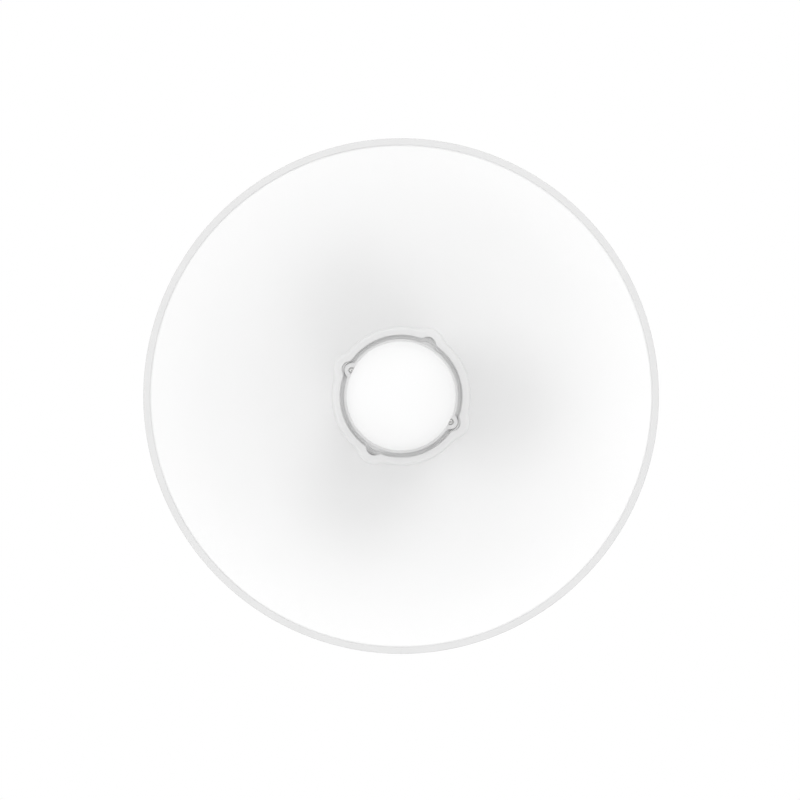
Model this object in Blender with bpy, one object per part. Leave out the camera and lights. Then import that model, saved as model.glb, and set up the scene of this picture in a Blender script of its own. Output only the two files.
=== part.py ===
"""Parabolic dish antenna with its pole bracket.

Metres, +Z up. The dish looks along -Y and +X is to its right as seen from the front.
The origin lies on the flat pad of the pole bracket, and +Y points from there at the pole.
The pieces on the dish's axis are drawn from the dish's vertex: a forward distance is along -Y.
"""

import math

import bmesh
import bpy
from mathutils import Matrix, Vector
from mathutils.geometry import convex_hull_2d

# Shared
GAP = 0.0003
MERGE = 0.000001
DISH_STEPS = 72
ROUND_STEPS = 48
BOLT_STEPS = 12

# Reflector and its edging
DISH_RADIUS = 0.2400
RIM_INNER = 0.2326
FLANGE_RADIUS = 0.2380
FOCAL_LENGTH = 0.1440
SHEET = 0.0016
DISH_RINGS = 10
DISH_START = 0.0520
EDGING_FRONT = 0.0018
EDGING_BACK = 0.0030
EDGING_LIP = 0.2350
VERTEX_Y = -0.1660

# Opening at the hub: a round hole with four notches
HOLE_RADIUS = 0.0581
NOTCH_RADIUS = 0.0078
NOTCH_RING = 0.0546
NOTCH_ANGLES = (62.5, 152.5, 242.5, 332.5)
SHEET_CLEAR = 0.0009
GASKET_CLEAR = 0.0004

# Collar round the hole, with a lobe at each notch
COLLAR_RADIUS = 0.0654
COLLAR_FORWARD = 0.0108
COLLAR_EDGE = 0.0024
LOBE_HEIGHT = 0.0049
LOBE_HALF_ANGLE = 15.5

# Feed: flange with two lugs, drum and cap
FEED_FLANGE_RADIUS = 0.0544
FEED_FLANGE_BACK = 0.0060
FEED_FLANGE_FRONT = 0.0085
LUG_RING = 0.0530
LUG_RADIUS = 0.0068
LUG_ANGLES = {"left": 152.5, "right": 332.5}
LUG_SEAT = 0.0073
LUG_SEAT_RADIUS = 0.0031
LUG_SCREW_HEAD = 0.0022
LUG_SCREW_HEIGHT = 0.0016
LUG_SCREW_SHANK = 0.0012
LUG_SCREW_TIP = -0.0050
DRUM_BASE_RADIUS = 0.0490
DRUM_TOP_RADIUS = 0.0480
DRUM_FRONT = 0.1337
CAP_RADIUS = 0.0503
CAP_SKIRT = 0.0020
CAP_FRONT = 0.1580
CAP_RINGS = 10

# Gasket, rear hub and spigot
SPIGOT_RADIUS = 0.0500
GASKET_BACK = 0.0005
GASKET_FRONT = 0.0057
HUB_RADIUS = 0.0780
HUB_EDGE_BACK = 0.0040
HUB_NECK_RADIUS = 0.0655
HUB_BACK = -0.0100

# Radio housing, cover and what sits under it
HOUSING_FLANGE_RADIUS = 0.0640
HOUSING_FLANGE = 0.0040
HOUSING_RADIUS = 0.0560
HOUSING_BOTTOM = 0.0660
HOUSING_CORNER = 0.0100
HOUSING_BACK = -0.0440
COVER_RADIUS = 0.0475
COVER_ROOT_RADIUS = 0.0435
COVER_FINS = 30
COVER_PLATE = 0.0035
COVER_BACK = -0.0617
PORT_CENTRE_X = -0.0200
PORT_HALF_WIDTH = 0.0160
PORT_HEIGHT = 0.0090
PORT_CORNER = 0.0030
UNDERSIDE_FORWARD = -0.0292
PORT_HALF_DEPTH = 0.0110
GLAND_X = 0.0140
GLAND_HEX_RADIUS = 0.0110
GLAND_NUT_RADIUS = 0.0095
GLAND_LENGTH = 0.0240
GLAND_BORE = 0.0035
VENT_X = 0.0340
VENT_RADIUS = 0.0055
GROUND_SCREW_Z = -0.0420
GROUND_SCREW_RADIUS = 0.0060

# Pole bracket: a web with a flat pad, and two ears
PLATE = 0.0030
PAD_HEIGHT = 0.0010
PAD_HALF_WIDTH = 0.0200
PAD_HALF_HEIGHT = 0.0180
EAR_INSIDE = 0.0531
WEB_HALF_HEIGHT = 0.0680
WEB_CORNER = 0.0060
EAR_FOOT_LOW = -0.0550
EAR_FOOT_HIGH = 0.0400
PIVOT_EYE = 0.0180
SLOT_EYE = 0.0125

# Elevation pivot and its lock, in the plane across the pivot
PIVOT_Y = -0.0460
PIVOT_Z = -0.0320
LOCK_REACH = 0.0640
TILT_LIMIT = 20.0
SLOT_SPARE = 0.6
BOLT_RADIUS = 0.0040
BOLT_HOLE = 0.0043
SLOT_HALF_WIDTH = 0.0045
HEX_RADIUS = 0.0075
HEX_HEIGHT = 0.0053
FLANGE_THICK = 0.0016
FLANGE_NUT_RADIUS = 0.0085
NUT_HEIGHT = 0.0065
BUSH_LENGTH = 0.0050
BUSH_RADIUS = 0.0095
BOLT_END_X = 0.0345

# Yoke on the antenna's side of the pivot
YOKE_OUTSIDE = 0.0475
YOKE_HALF_HEIGHT = 0.0420
YOKE_CORNER = 0.0050
YOKE_PIVOT_EYE = 0.0130
YOKE_SCREW_X = 0.0300
YOKE_SCREW_Z = 0.0280
YOKE_SCREW_HEAD = 0.0050
YOKE_SCREW_HEAD_HEIGHT = 0.0036
YOKE_SCREW_RADIUS = 0.0025
YOKE_SCREW_HOLE = 0.0029
YOKE_SCREW_DEPTH = 0.0090

# Clamp round the pole
CLAMP_Z = 0.0450
POLE_RADIUS = 0.0255
POLE_CENTRE_Y = 0.0355
U_BOLT_HALF_WIDTH = 0.0300
U_BOLT_TIP_Y = -0.0200
U_BOLT_BEND_STEPS = 20
SADDLE_HALF_HEIGHT = 0.0110
SADDLE_HALF_WIDTH = 0.0400
SADDLE_FOOT = 0.0040
SADDLE_CREST_X = 0.0235
SADDLE_CREST_OUTER_X = 0.0252
SADDLE_APEX_Y = 0.0060
SADDLE_SLOPE = 60.0

# Colours, roughness and metallic values
WHITE_COAT = ("white powder coat", (0.74, 0.745, 0.745, 1.0), 0.45, 0.0)
EDGING_GREY = ("grey edging", (0.60, 0.605, 0.605, 1.0), 0.55, 0.0)
WHITE_PLASTIC = ("white moulded plastic", (0.73, 0.735, 0.735, 1.0), 0.40, 0.0)
SEAL_GREY = ("grey seal", (0.63, 0.635, 0.64, 1.0), 0.70, 0.0)
CAST_GREY = ("grey cast alloy", (0.52, 0.53, 0.54, 1.0), 0.55, 0.6)
ZINC_STEEL = ("zinc coated steel", (0.58, 0.59, 0.60, 1.0), 0.42, 0.9)
STAINLESS = ("stainless steel", (0.66, 0.66, 0.65, 1.0), 0.28, 1.0)
NYLON_BLACK = ("black nylon", (0.035, 0.036, 0.038, 1.0), 0.50, 0.0)

YOKE_INSIDE = YOKE_OUTSIDE - PLATE
EAR_OUTSIDE = EAR_INSIDE + PLATE
WEB_BACK_Y = -PAD_HEIGHT
WEB_FRONT_Y = WEB_BACK_Y - PLATE
YOKE_WEB_FRONT_Y = VERTEX_Y - COVER_BACK + GAP


def clear_scene():
    for thing in list(bpy.data.objects):
        bpy.data.objects.remove(thing)


def finish_of(look):
    """The material of one finish, made the first time that it is asked for."""
    name, colour, roughness, metallic = look
    finish = bpy.data.materials.get(name)
    if finish is None:
        finish = bpy.data.materials.new(name)
        finish.use_nodes = True
        shader = finish.node_tree.nodes["Principled BSDF"]
        shader.inputs["Base Color"].default_value = colour
        shader.inputs["Roughness"].default_value = roughness
        shader.inputs["Metallic"].default_value = metallic
        finish.diffuse_color = colour
    return finish


def empty_at(name, place, parent=None):
    empty = bpy.data.objects.new(name, None)
    bpy.context.scene.collection.objects.link(empty)
    empty.location = place
    empty.parent = parent
    return empty


def piece(name, shape, look, parent=None, place=(0.0, 0.0, 0.0), turn=(0.0, 0.0, 0.0)):
    """An object from a finished bmesh. Its place and turn are in its parent's frame."""
    bmesh.ops.recalc_face_normals(shape, faces=shape.faces)
    mesh = bpy.data.meshes.new(name)
    shape.to_mesh(mesh)
    shape.free()
    mesh.shade_smooth()
    mesh.set_sharp_from_angle(angle=math.radians(35.0))
    mesh.materials.append(finish_of(look))
    made = bpy.data.objects.new(name, mesh)
    bpy.context.scene.collection.objects.link(made)
    made.parent = parent
    made.location = place
    made.rotation_euler = turn
    return made


def tool(name, shape, parent=None):
    """A hidden body that a Boolean adds to a piece or takes from it."""
    made = piece(name, shape, SEAL_GREY, parent)
    made.hide_render = True
    made.display_type = "WIRE"
    return made


def combine(target, other, operation):
    joined = target.modifiers.new(operation.lower(), "BOOLEAN")
    joined.operation = operation
    joined.solver = "EXACT"
    joined.object = other


def arc(centre, radius, start, end, steps):
    """Points on an arc, from one angle in degrees to another, both ends included."""
    angles = [math.radians(start + (end - start) * step / steps) for step in range(steps + 1)]
    return [
        (centre[0] + radius * math.cos(angle), centre[1] + radius * math.sin(angle))
        for angle in angles
    ]


def hull_outline(points):
    """The outline of a thread pulled tight round the points."""
    return [points[index] for index in convex_hull_2d([Vector(point) for point in points])]


def rounded_box_outline(low, high, corner):
    """A rectangle with round corners."""
    across = (low[0] + corner, high[0] - corner)
    up = (low[1] + corner, high[1] - corner)
    points = []
    for x in across:
        for y in up:
            points += arc((x, y), corner, 0.0, 345.0, 23)
    return hull_outline(points)


def add_prism(shape, outline, axis, low, high):
    """A straight body with this outline between two places along an axis."""
    spots = {
        "X": lambda a, b: Vector((low, a, b)),
        "Y": lambda a, b: Vector((a, low, b)),
        "Z": lambda a, b: Vector((a, b, low)),
    }
    start = [shape.verts.new(spots[axis](a, b)) for a, b in outline]
    face = shape.faces.new(start)
    grown = bmesh.ops.extrude_face_region(shape, geom=[face])
    moved = [item for item in grown["geom"] if isinstance(item, bmesh.types.BMVert)]
    along = {"X": Vector((1, 0, 0)), "Y": Vector((0, 1, 0)), "Z": Vector((0, 0, 1))}[axis]
    bmesh.ops.translate(shape, verts=moved, vec=along * (high - low))


def add_rod(shape, radius, start, end, steps=BOLT_STEPS):
    """A round rod from one point to another."""
    run = Vector(end) - Vector(start)
    turn = Vector((0, 0, 1)).rotation_difference(run).to_matrix().to_4x4()
    place = Matrix.Translation((Vector(start) + Vector(end)) / 2)
    bmesh.ops.create_cone(
        shape,
        cap_ends=True,
        segments=steps,
        radius1=radius,
        radius2=radius,
        depth=run.length,
        matrix=place @ turn,
    )


def turned(profile, steps=ROUND_STEPS, hexes=()):
    """A closed profile of (radius, forward) points turned round the Y axis.

    Rings whose radius is listed in hexes are pulled in to a hexagon.
    """
    shape = bmesh.new()
    points = [shape.verts.new((radius, -forward, 0.0)) for radius, forward in profile]
    pairs = list(zip(points, points[1:])) + [(points[-1], points[0])]
    edges = [
        shape.edges.new(pair)
        for pair in pairs
        if pair[0].co.x > MERGE or pair[1].co.x > MERGE
    ]
    bmesh.ops.spin(
        shape,
        geom=points + edges,
        cent=(0.0, 0.0, 0.0),
        axis=(0.0, 1.0, 0.0),
        angle=math.tau,
        steps=steps,
        use_merge=True,
    )
    bmesh.ops.remove_doubles(shape, verts=shape.verts, dist=MERGE)
    for vert in shape.verts:
        radius = math.hypot(vert.co.x, vert.co.z)
        if any(abs(radius - size) < MERGE for size in hexes):
            from_flat = math.fmod(math.degrees(math.atan2(vert.co.z, vert.co.x)) + 720.0, 60.0) - 30.0
            shrink = math.cos(math.radians(30.0)) / math.cos(math.radians(from_flat))
            vert.co.x *= shrink
            vert.co.z *= shrink
    return shape


def ring_place(radius, angle):
    """The (x, z) place at this radius and angle on the dish's face."""
    return radius * math.cos(math.radians(angle)), radius * math.sin(math.radians(angle))


def dish_forward(radius):
    """How far the dish's front surface is in front of its vertex."""
    return radius * radius / (4 * FOCAL_LENGTH)


def dish_slope(radius):
    return radius / (2 * FOCAL_LENGTH)


def dish_back_point(radius):
    """The point on the back of the sheet behind the front's point at this radius."""
    length = math.hypot(1.0, dish_slope(radius))
    return radius + SHEET * dish_slope(radius) / length, dish_forward(radius) - SHEET / length


def hub_seat_forward(radius):
    """The surface that bears on the back of the sheet."""
    return dish_forward(radius) - SHEET * math.hypot(1.0, dish_slope(radius)) - GAP


def spread(start, end, count):
    return [start + (end - start) * step / (count - 1) for step in range(count)]


def notched_outline(clear):
    """The hub's opening, widened all round by the clearance given."""
    hole = HOLE_RADIUS + clear
    notch = NOTCH_RADIUS + clear
    # Where the notch's circle meets the hole's, seen from the dish's centre and from the notch's
    reach = (hole * hole - NOTCH_RING * NOTCH_RING - notch * notch) / (2 * NOTCH_RING * notch)
    from_notch = math.degrees(math.acos(reach))
    from_centre = math.degrees(math.asin(notch * math.sin(math.radians(from_notch)) / hole))
    points = []
    for number, angle in enumerate(NOTCH_ANGLES):
        following = NOTCH_ANGLES[(number + 1) % 4] + (360.0 if number == 3 else 0.0)
        centre = ring_place(NOTCH_RING, angle)
        points += arc(centre, notch, angle - from_notch, angle + from_notch, 8)
        points += arc((0.0, 0.0), hole, angle + from_centre, following - from_centre, 16)[1:-1]
    return points


def lobe(angle):
    """The share of the lobe's height at this angle, 1 at a notch and 0 between them."""
    off = min(abs((angle - notch + 180.0) % 360.0 - 180.0) for notch in NOTCH_ANGLES)
    if off >= LOBE_HALF_ANGLE:
        return 0.0
    return 0.5 + 0.5 * math.cos(math.pi * off / LOBE_HALF_ANGLE)


def make_reflector(axis):
    """A pressed sheet dish with a flat turned-out flange and the notched opening at its hub."""
    radii = spread(DISH_START, RIM_INNER, DISH_RINGS)
    rim = dish_forward(RIM_INNER)
    back = [dish_back_point(radius) for radius in radii]
    profile = [(radius, dish_forward(radius)) for radius in radii]
    profile += [(FLANGE_RADIUS, rim), (FLANGE_RADIUS, back[-1][1])]
    profile += back[::-1]
    reflector = piece("reflector", turned(profile, DISH_STEPS), WHITE_COAT, axis)
    hole = bmesh.new()
    add_prism(hole, notched_outline(SHEET_CLEAR), "Y", -0.030, 0.030)
    combine(reflector, tool("reflector_hole", hole, axis), "DIFFERENCE")


def make_rim_ring(axis):
    """The edging, a channel pushed over the dish's flange all the way round."""
    rim = dish_forward(RIM_INNER)
    flange_back = dish_back_point(RIM_INNER)[1]
    profile = [
        (RIM_INNER, rim + GAP),
        (RIM_INNER, rim + GAP + EDGING_FRONT),
        (DISH_RADIUS, rim + GAP + EDGING_FRONT),
        (DISH_RADIUS, flange_back - GAP - EDGING_BACK),
        (EDGING_LIP, flange_back - GAP - EDGING_BACK),
        (EDGING_LIP, flange_back - GAP),
        (FLANGE_RADIUS + GAP, flange_back - GAP),
        (FLANGE_RADIUS + GAP, rim + GAP),
    ]
    piece("rim_ring", turned(profile, DISH_STEPS), EDGING_GREY, axis)


def make_hub_collar(axis):
    """The smooth raised ring round the opening, with its four lobes, seated on the dish."""
    inside = HOLE_RADIUS - 0.0100
    foot = dish_forward(inside) - 0.0040
    profile = [
        (inside, foot),
        (inside, COLLAR_FORWARD),
        (COLLAR_RADIUS - COLLAR_EDGE, COLLAR_FORWARD),
        (COLLAR_RADIUS - COLLAR_EDGE * 0.3, COLLAR_FORWARD - COLLAR_EDGE * 0.3),
        (COLLAR_RADIUS, COLLAR_FORWARD - COLLAR_EDGE),
        (COLLAR_RADIUS, foot),
    ]
    shape = turned(profile, DISH_STEPS)
    for vert in shape.verts:
        radius = math.hypot(vert.co.x, vert.co.z)
        if radius > HOLE_RADIUS:
            grown = radius + LOBE_HEIGHT * lobe(math.degrees(math.atan2(vert.co.z, vert.co.x)))
            vert.co.x *= grown / radius
            vert.co.z *= grown / radius
    collar = piece("hub_collar", shape, WHITE_PLASTIC, axis)
    hole = bmesh.new()
    add_prism(hole, notched_outline(0.0), "Y", -0.040, 0.040)
    combine(collar, tool("collar_hole", hole, axis), "DIFFERENCE")
    seat = [(radius, dish_forward(radius) + GAP) for radius in spread(0.0400, 0.0800, 9)]
    under = turned(seat + [(0.0800, -0.0200), (0.0400, -0.0200)], DISH_STEPS)
    combine(collar, tool("collar_seat", under, axis), "DIFFERENCE")


def lug_screw_holes(radius, back, steps=BOLT_STEPS):
    """Two round holes where the screws go through the lugs, open towards the front."""
    holes = bmesh.new()
    for angle in LUG_ANGLES.values():
        x, z = ring_place(LUG_RING, angle)
        add_rod(holes, radius, (x, -back, z), (x, -0.0200, z), steps)
    return holes


def make_feed_flange(axis, holes):
    """The feed's round foot with a lug on each side, each sunk for the head of its screw."""
    disc = [
        (0.0, FEED_FLANGE_BACK),
        (FEED_FLANGE_RADIUS, FEED_FLANGE_BACK),
        (FEED_FLANGE_RADIUS, FEED_FLANGE_FRONT),
        (0.0, FEED_FLANGE_FRONT),
    ]
    flange = piece("feed_flange", turned(disc), WHITE_PLASTIC, axis)
    lugs = bmesh.new()
    for angle in LUG_ANGLES.values():
        x, z = ring_place(LUG_RING, angle)
        add_rod(lugs, LUG_RADIUS, (x, -FEED_FLANGE_BACK, z), (x, -FEED_FLANGE_FRONT, z), 32)
    combine(flange, tool("feed_lugs", lugs, axis), "UNION")
    seats = lug_screw_holes(LUG_SEAT_RADIUS, LUG_SEAT, 20)
    combine(flange, tool("lug_seats", seats, axis), "DIFFERENCE")
    combine(flange, holes, "DIFFERENCE")


def make_lug_screws(axis):
    """Pan head screws through the lugs into the rear hub."""
    for side, angle in LUG_ANGLES.items():
        seat = LUG_SEAT + GAP
        profile = [
            (0.0, seat + LUG_SCREW_HEIGHT),
            (LUG_SCREW_HEAD * 0.7, seat + LUG_SCREW_HEIGHT * 0.9),
            (LUG_SCREW_HEAD, seat + LUG_SCREW_HEIGHT * 0.5),
            (LUG_SCREW_HEAD, seat),
            (LUG_SCREW_SHANK, seat),
            (LUG_SCREW_SHANK, LUG_SCREW_TIP),
            (0.0, LUG_SCREW_TIP),
        ]
        x, z = ring_place(LUG_RING, angle)
        piece("lug_screw_" + side, turned(profile, BOLT_STEPS), STAINLESS, axis, (x, 0.0, z))


def make_feed_drum(axis):
    """The plain drum that carries the feed in front of the dish."""
    back = FEED_FLANGE_FRONT + GAP
    profile = [
        (0.0, back),
        (DRUM_BASE_RADIUS, back),
        (DRUM_BASE_RADIUS, back + 0.0060),
        (DRUM_TOP_RADIUS, DRUM_FRONT),
        (0.0, DRUM_FRONT),
    ]
    piece("feed_drum", turned(profile), WHITE_PLASTIC, axis)


def make_feed_cap(axis):
    """The rounded cap on the drum, a little wider than the drum, with a short straight skirt."""
    back = DRUM_FRONT + GAP
    shoulder = back + CAP_SKIRT
    rise = CAP_FRONT - shoulder
    dome = []
    for turn in spread(0.0, math.pi / 2, CAP_RINGS):
        dome.append((CAP_RADIUS * math.sin(turn), shoulder + rise * math.cos(turn)))
    piece("feed_cap", turned([(0.0, back), (CAP_RADIUS, back)] + dome[::-1]), WHITE_PLASTIC, axis)


def make_hub_gasket(axis, holes):
    """The soft seal that shows in the gap round the feed."""
    shape = bmesh.new()
    add_prism(shape, notched_outline(GASKET_CLEAR), "Y", -GASKET_FRONT, -GASKET_BACK)
    gasket = piece("hub_gasket", shape, SEAL_GREY, axis)
    middle = bmesh.new()
    add_rod(middle, SPIGOT_RADIUS + GAP, (0.0, 0.010, 0.0), (0.0, -0.010, 0.0), ROUND_STEPS)
    combine(gasket, tool("gasket_middle", middle, axis), "DIFFERENCE")
    combine(gasket, holes, "DIFFERENCE")


def make_rear_hub(axis, holes):
    """The cast cone behind the dish. Its front bears on the sheet and holds the gasket."""
    seat = [(radius, hub_seat_forward(radius)) for radius in spread(SPIGOT_RADIUS + GAP, HUB_RADIUS, 5)]
    profile = seat + [
        (HUB_RADIUS, HUB_EDGE_BACK),
        (HUB_NECK_RADIUS, HUB_BACK),
        (SPIGOT_RADIUS + GAP, HUB_BACK),
    ]
    hub = piece("rear_hub", turned(profile, DISH_STEPS), CAST_GREY, axis)
    recess = bmesh.new()
    add_prism(recess, notched_outline(SHEET_CLEAR), "Y", -0.0300, GAP - GASKET_BACK)
    combine(hub, tool("gasket_recess", recess, axis), "DIFFERENCE")
    combine(hub, holes, "DIFFERENCE")


def housing_outline():
    """Round on top, straight at the sides and flat underneath."""
    low = HOUSING_CORNER - HOUSING_BOTTOM
    side = HOUSING_RADIUS - HOUSING_CORNER
    points = arc((0.0, 0.0), HOUSING_RADIUS, 0.0, 180.0, 24)
    points += arc((-side, low), HOUSING_CORNER, 180.0, 270.0, 5)
    points += arc((side, low), HOUSING_CORNER, 270.0, 360.0, 5)
    return points


def make_rear_housing(axis):
    """The radio's housing: a body, a round flange on the hub, and a spigot through it."""
    flange_front = HUB_BACK - GAP
    flange_back = flange_front - HOUSING_FLANGE
    shape = bmesh.new()
    add_prism(shape, housing_outline(), "Y", -flange_back - 0.0010, -HOUSING_BACK)
    housing = piece("rear_housing", shape, WHITE_PLASTIC, axis)
    profile = [
        (0.0, FEED_FLANGE_BACK - GAP),
        (SPIGOT_RADIUS, FEED_FLANGE_BACK - GAP),
        (SPIGOT_RADIUS, flange_front),
        (HOUSING_FLANGE_RADIUS, flange_front),
        (HOUSING_FLANGE_RADIUS, flange_back),
        (0.0, flange_back),
    ]
    combine(housing, tool("housing_spigot", turned(profile), axis), "UNION")


def fin_outline():
    """A ring of square ribs."""
    points = []
    for fin in range(COVER_FINS):
        start = 360.0 * fin / COVER_FINS
        for radius, share in ((COVER_RADIUS, 0.0), (COVER_RADIUS, 0.42), (COVER_ROOT_RADIUS, 0.50), (COVER_ROOT_RADIUS, 0.92)):
            points.append(ring_place(radius, start + 360.0 / COVER_FINS * share))
    return points


def yoke_screw_places():
    return [(x, z) for z in (-YOKE_SCREW_Z, YOKE_SCREW_Z) for x in (-YOKE_SCREW_X, YOKE_SCREW_X)]


def make_rear_cover(axis):
    """The finned alloy cover on the housing's back, with blind holes for the yoke's screws."""
    front = HOUSING_BACK - GAP
    shape = bmesh.new()
    add_prism(shape, fin_outline(), "Y", -front, -COVER_BACK - COVER_PLATE + 0.0010)
    cover = piece("rear_cover", shape, CAST_GREY, axis)
    plate = [
        (0.0, COVER_BACK + COVER_PLATE),
        (COVER_RADIUS, COVER_BACK + COVER_PLATE),
        (COVER_RADIUS, COVER_BACK),
        (0.0, COVER_BACK),
    ]
    combine(cover, tool("cover_plate", turned(plate), axis), "UNION")
    holes = bmesh.new()
    for x, z in yoke_screw_places():
        add_rod(holes, YOKE_SCREW_HOLE, (x, -COVER_BACK - YOKE_SCREW_DEPTH, z), (x, 0.0700, z))
    combine(cover, tool("cover_screw_holes", holes, axis), "DIFFERENCE")


def make_port_cover(axis):
    """The clip-on cover over the cable socket, under the housing."""
    shape = bmesh.new()
    low = (PORT_CENTRE_X - PORT_HALF_WIDTH, -UNDERSIDE_FORWARD - PORT_HALF_DEPTH)
    high = (PORT_CENTRE_X + PORT_HALF_WIDTH, -UNDERSIDE_FORWARD + PORT_HALF_DEPTH)
    outline = rounded_box_outline(low, high, PORT_CORNER)
    top = -HOUSING_BOTTOM - GAP
    add_prism(shape, outline, "Z", top - PORT_HEIGHT, top)
    piece("port_cover", shape, WHITE_PLASTIC, axis)


def make_cable_gland(axis):
    """The cable gland under the housing, with its open mouth downwards."""
    profile = [
        (0.0, 0.0),
        (GLAND_HEX_RADIUS, 0.0),
        (GLAND_HEX_RADIUS, 0.0070),
        (GLAND_NUT_RADIUS - 0.0010, 0.0070),
        (GLAND_NUT_RADIUS, 0.0080),
        (GLAND_NUT_RADIUS, GLAND_LENGTH - 0.0050),
        (GLAND_NUT_RADIUS - 0.0030, GLAND_LENGTH),
        (GLAND_BORE, GLAND_LENGTH),
        (GLAND_BORE, 0.0090),
        (0.0, 0.0090),
    ]
    place = (GLAND_X, -UNDERSIDE_FORWARD, -HOUSING_BOTTOM - GAP)
    shape = turned(profile, 24, hexes=(GLAND_HEX_RADIUS,))
    piece("cable_gland", shape, NYLON_BLACK, axis, place, (math.radians(90.0), 0.0, 0.0))


def make_vent_plug(axis):
    """The breather plug under the housing."""
    profile = [(0.0, 0.0), (VENT_RADIUS, 0.0), (VENT_RADIUS, 0.0030), (VENT_RADIUS - 0.0012, 0.0042), (0.0, 0.0042)]
    place = (VENT_X, -UNDERSIDE_FORWARD, -HOUSING_BOTTOM - GAP)
    piece("vent_plug", turned(profile, 20), NYLON_BLACK, axis, place, (math.radians(90.0), 0.0, 0.0))


def make_ground_screw(axis):
    """The earthing screw with its washer, on the housing's flat right side."""
    profile = [
        (0.0, 0.0),
        (GROUND_SCREW_RADIUS, 0.0),
        (GROUND_SCREW_RADIUS, 0.0012),
        (GROUND_SCREW_RADIUS * 0.7, 0.0012),
        (GROUND_SCREW_RADIUS * 0.7, 0.0048),
        (0.0, 0.0048),
    ]
    place = (HOUSING_RADIUS + GAP, -UNDERSIDE_FORWARD, GROUND_SCREW_Z)
    shape = turned(profile, BOLT_STEPS, hexes=(GROUND_SCREW_RADIUS * 0.7,))
    piece("ground_screw", shape, STAINLESS, axis, place, (0.0, 0.0, math.radians(90.0)))


def lock_place(tilt):
    """The (y, z) place of the lock bolt when the dish is tilted by this many degrees."""
    angle = math.radians(90.0 + tilt)
    return PIVOT_Y + LOCK_REACH * math.cos(angle), PIVOT_Z + LOCK_REACH * math.sin(angle)


def slot_outline():
    """The curved slot that the lock bolt travels along, in the (y, z) plane."""
    pivot = (PIVOT_Y, PIVOT_Z)
    swing = TILT_LIMIT + SLOT_SPARE
    low = 90.0 - swing
    high = 90.0 + swing
    points = arc(pivot, LOCK_REACH + SLOT_HALF_WIDTH, low, high, 12)
    points += arc(lock_place(swing), SLOT_HALF_WIDTH, high, high + 180.0, 6)[1:-1]
    points += arc(pivot, LOCK_REACH - SLOT_HALF_WIDTH, high, low, 12)
    points += arc(lock_place(-swing), SLOT_HALF_WIDTH, low + 180.0, low + 360.0, 6)[1:-1]
    return points


def mast_ear_outline():
    """One ear of the pole bracket, wide enough for the pivot and the slot."""
    swing = TILT_LIMIT + SLOT_SPARE
    points = arc((PIVOT_Y, PIVOT_Z), PIVOT_EYE, 0.0, 345.0, 23)
    points += arc(lock_place(swing), SLOT_EYE, 0.0, 345.0, 23)
    points += arc(lock_place(-swing), SLOT_EYE, 0.0, 345.0, 23)
    points += arc((PIVOT_Y, PIVOT_Z), LOCK_REACH + SLOT_EYE, 90.0 - swing, 90.0 + swing, 10)
    root = WEB_FRONT_Y + PLATE / 2
    points += [(root, EAR_FOOT_LOW), (root, EAR_FOOT_HIGH)]
    return hull_outline(points)


def make_pole_bracket():
    """The folded steel bracket: a web with a pressed pad, two ears, and the bolt holes."""
    web = bmesh.new()
    outline = rounded_box_outline((-EAR_OUTSIDE, -WEB_HALF_HEIGHT), (EAR_OUTSIDE, WEB_HALF_HEIGHT), WEB_CORNER)
    add_prism(web, outline, "Y", WEB_FRONT_Y, WEB_BACK_Y)
    bracket = piece("pole_bracket", web, ZINC_STEEL)
    extra = bmesh.new()
    add_prism(extra, mast_ear_outline(), "X", EAR_INSIDE, EAR_OUTSIDE)
    add_prism(extra, mast_ear_outline(), "X", -EAR_OUTSIDE, -EAR_INSIDE)
    pad = rounded_box_outline((-PAD_HALF_WIDTH, -PAD_HALF_HEIGHT), (PAD_HALF_WIDTH, PAD_HALF_HEIGHT), 0.004)
    add_prism(extra, pad, "Y", WEB_FRONT_Y + PLATE / 2, 0.0)
    combine(bracket, tool("bracket_ears_and_pad", extra), "UNION")
    holes = bmesh.new()
    reach = EAR_OUTSIDE + 0.0050
    for side in (-1, 1):
        near = side * (EAR_INSIDE - 0.0050)
        far = side * reach
        add_rod(holes, BOLT_HOLE, (near, PIVOT_Y, PIVOT_Z), (far, PIVOT_Y, PIVOT_Z))
        add_prism(holes, slot_outline(), "X", min(near, far), max(near, far))
        for z in (-CLAMP_Z, CLAMP_Z):
            x = side * U_BOLT_HALF_WIDTH
            add_rod(holes, BOLT_HOLE, (x, WEB_FRONT_Y - 0.005, z), (x, WEB_BACK_Y + 0.005, z))
    combine(bracket, tool("bracket_holes", holes), "DIFFERENCE")


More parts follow.
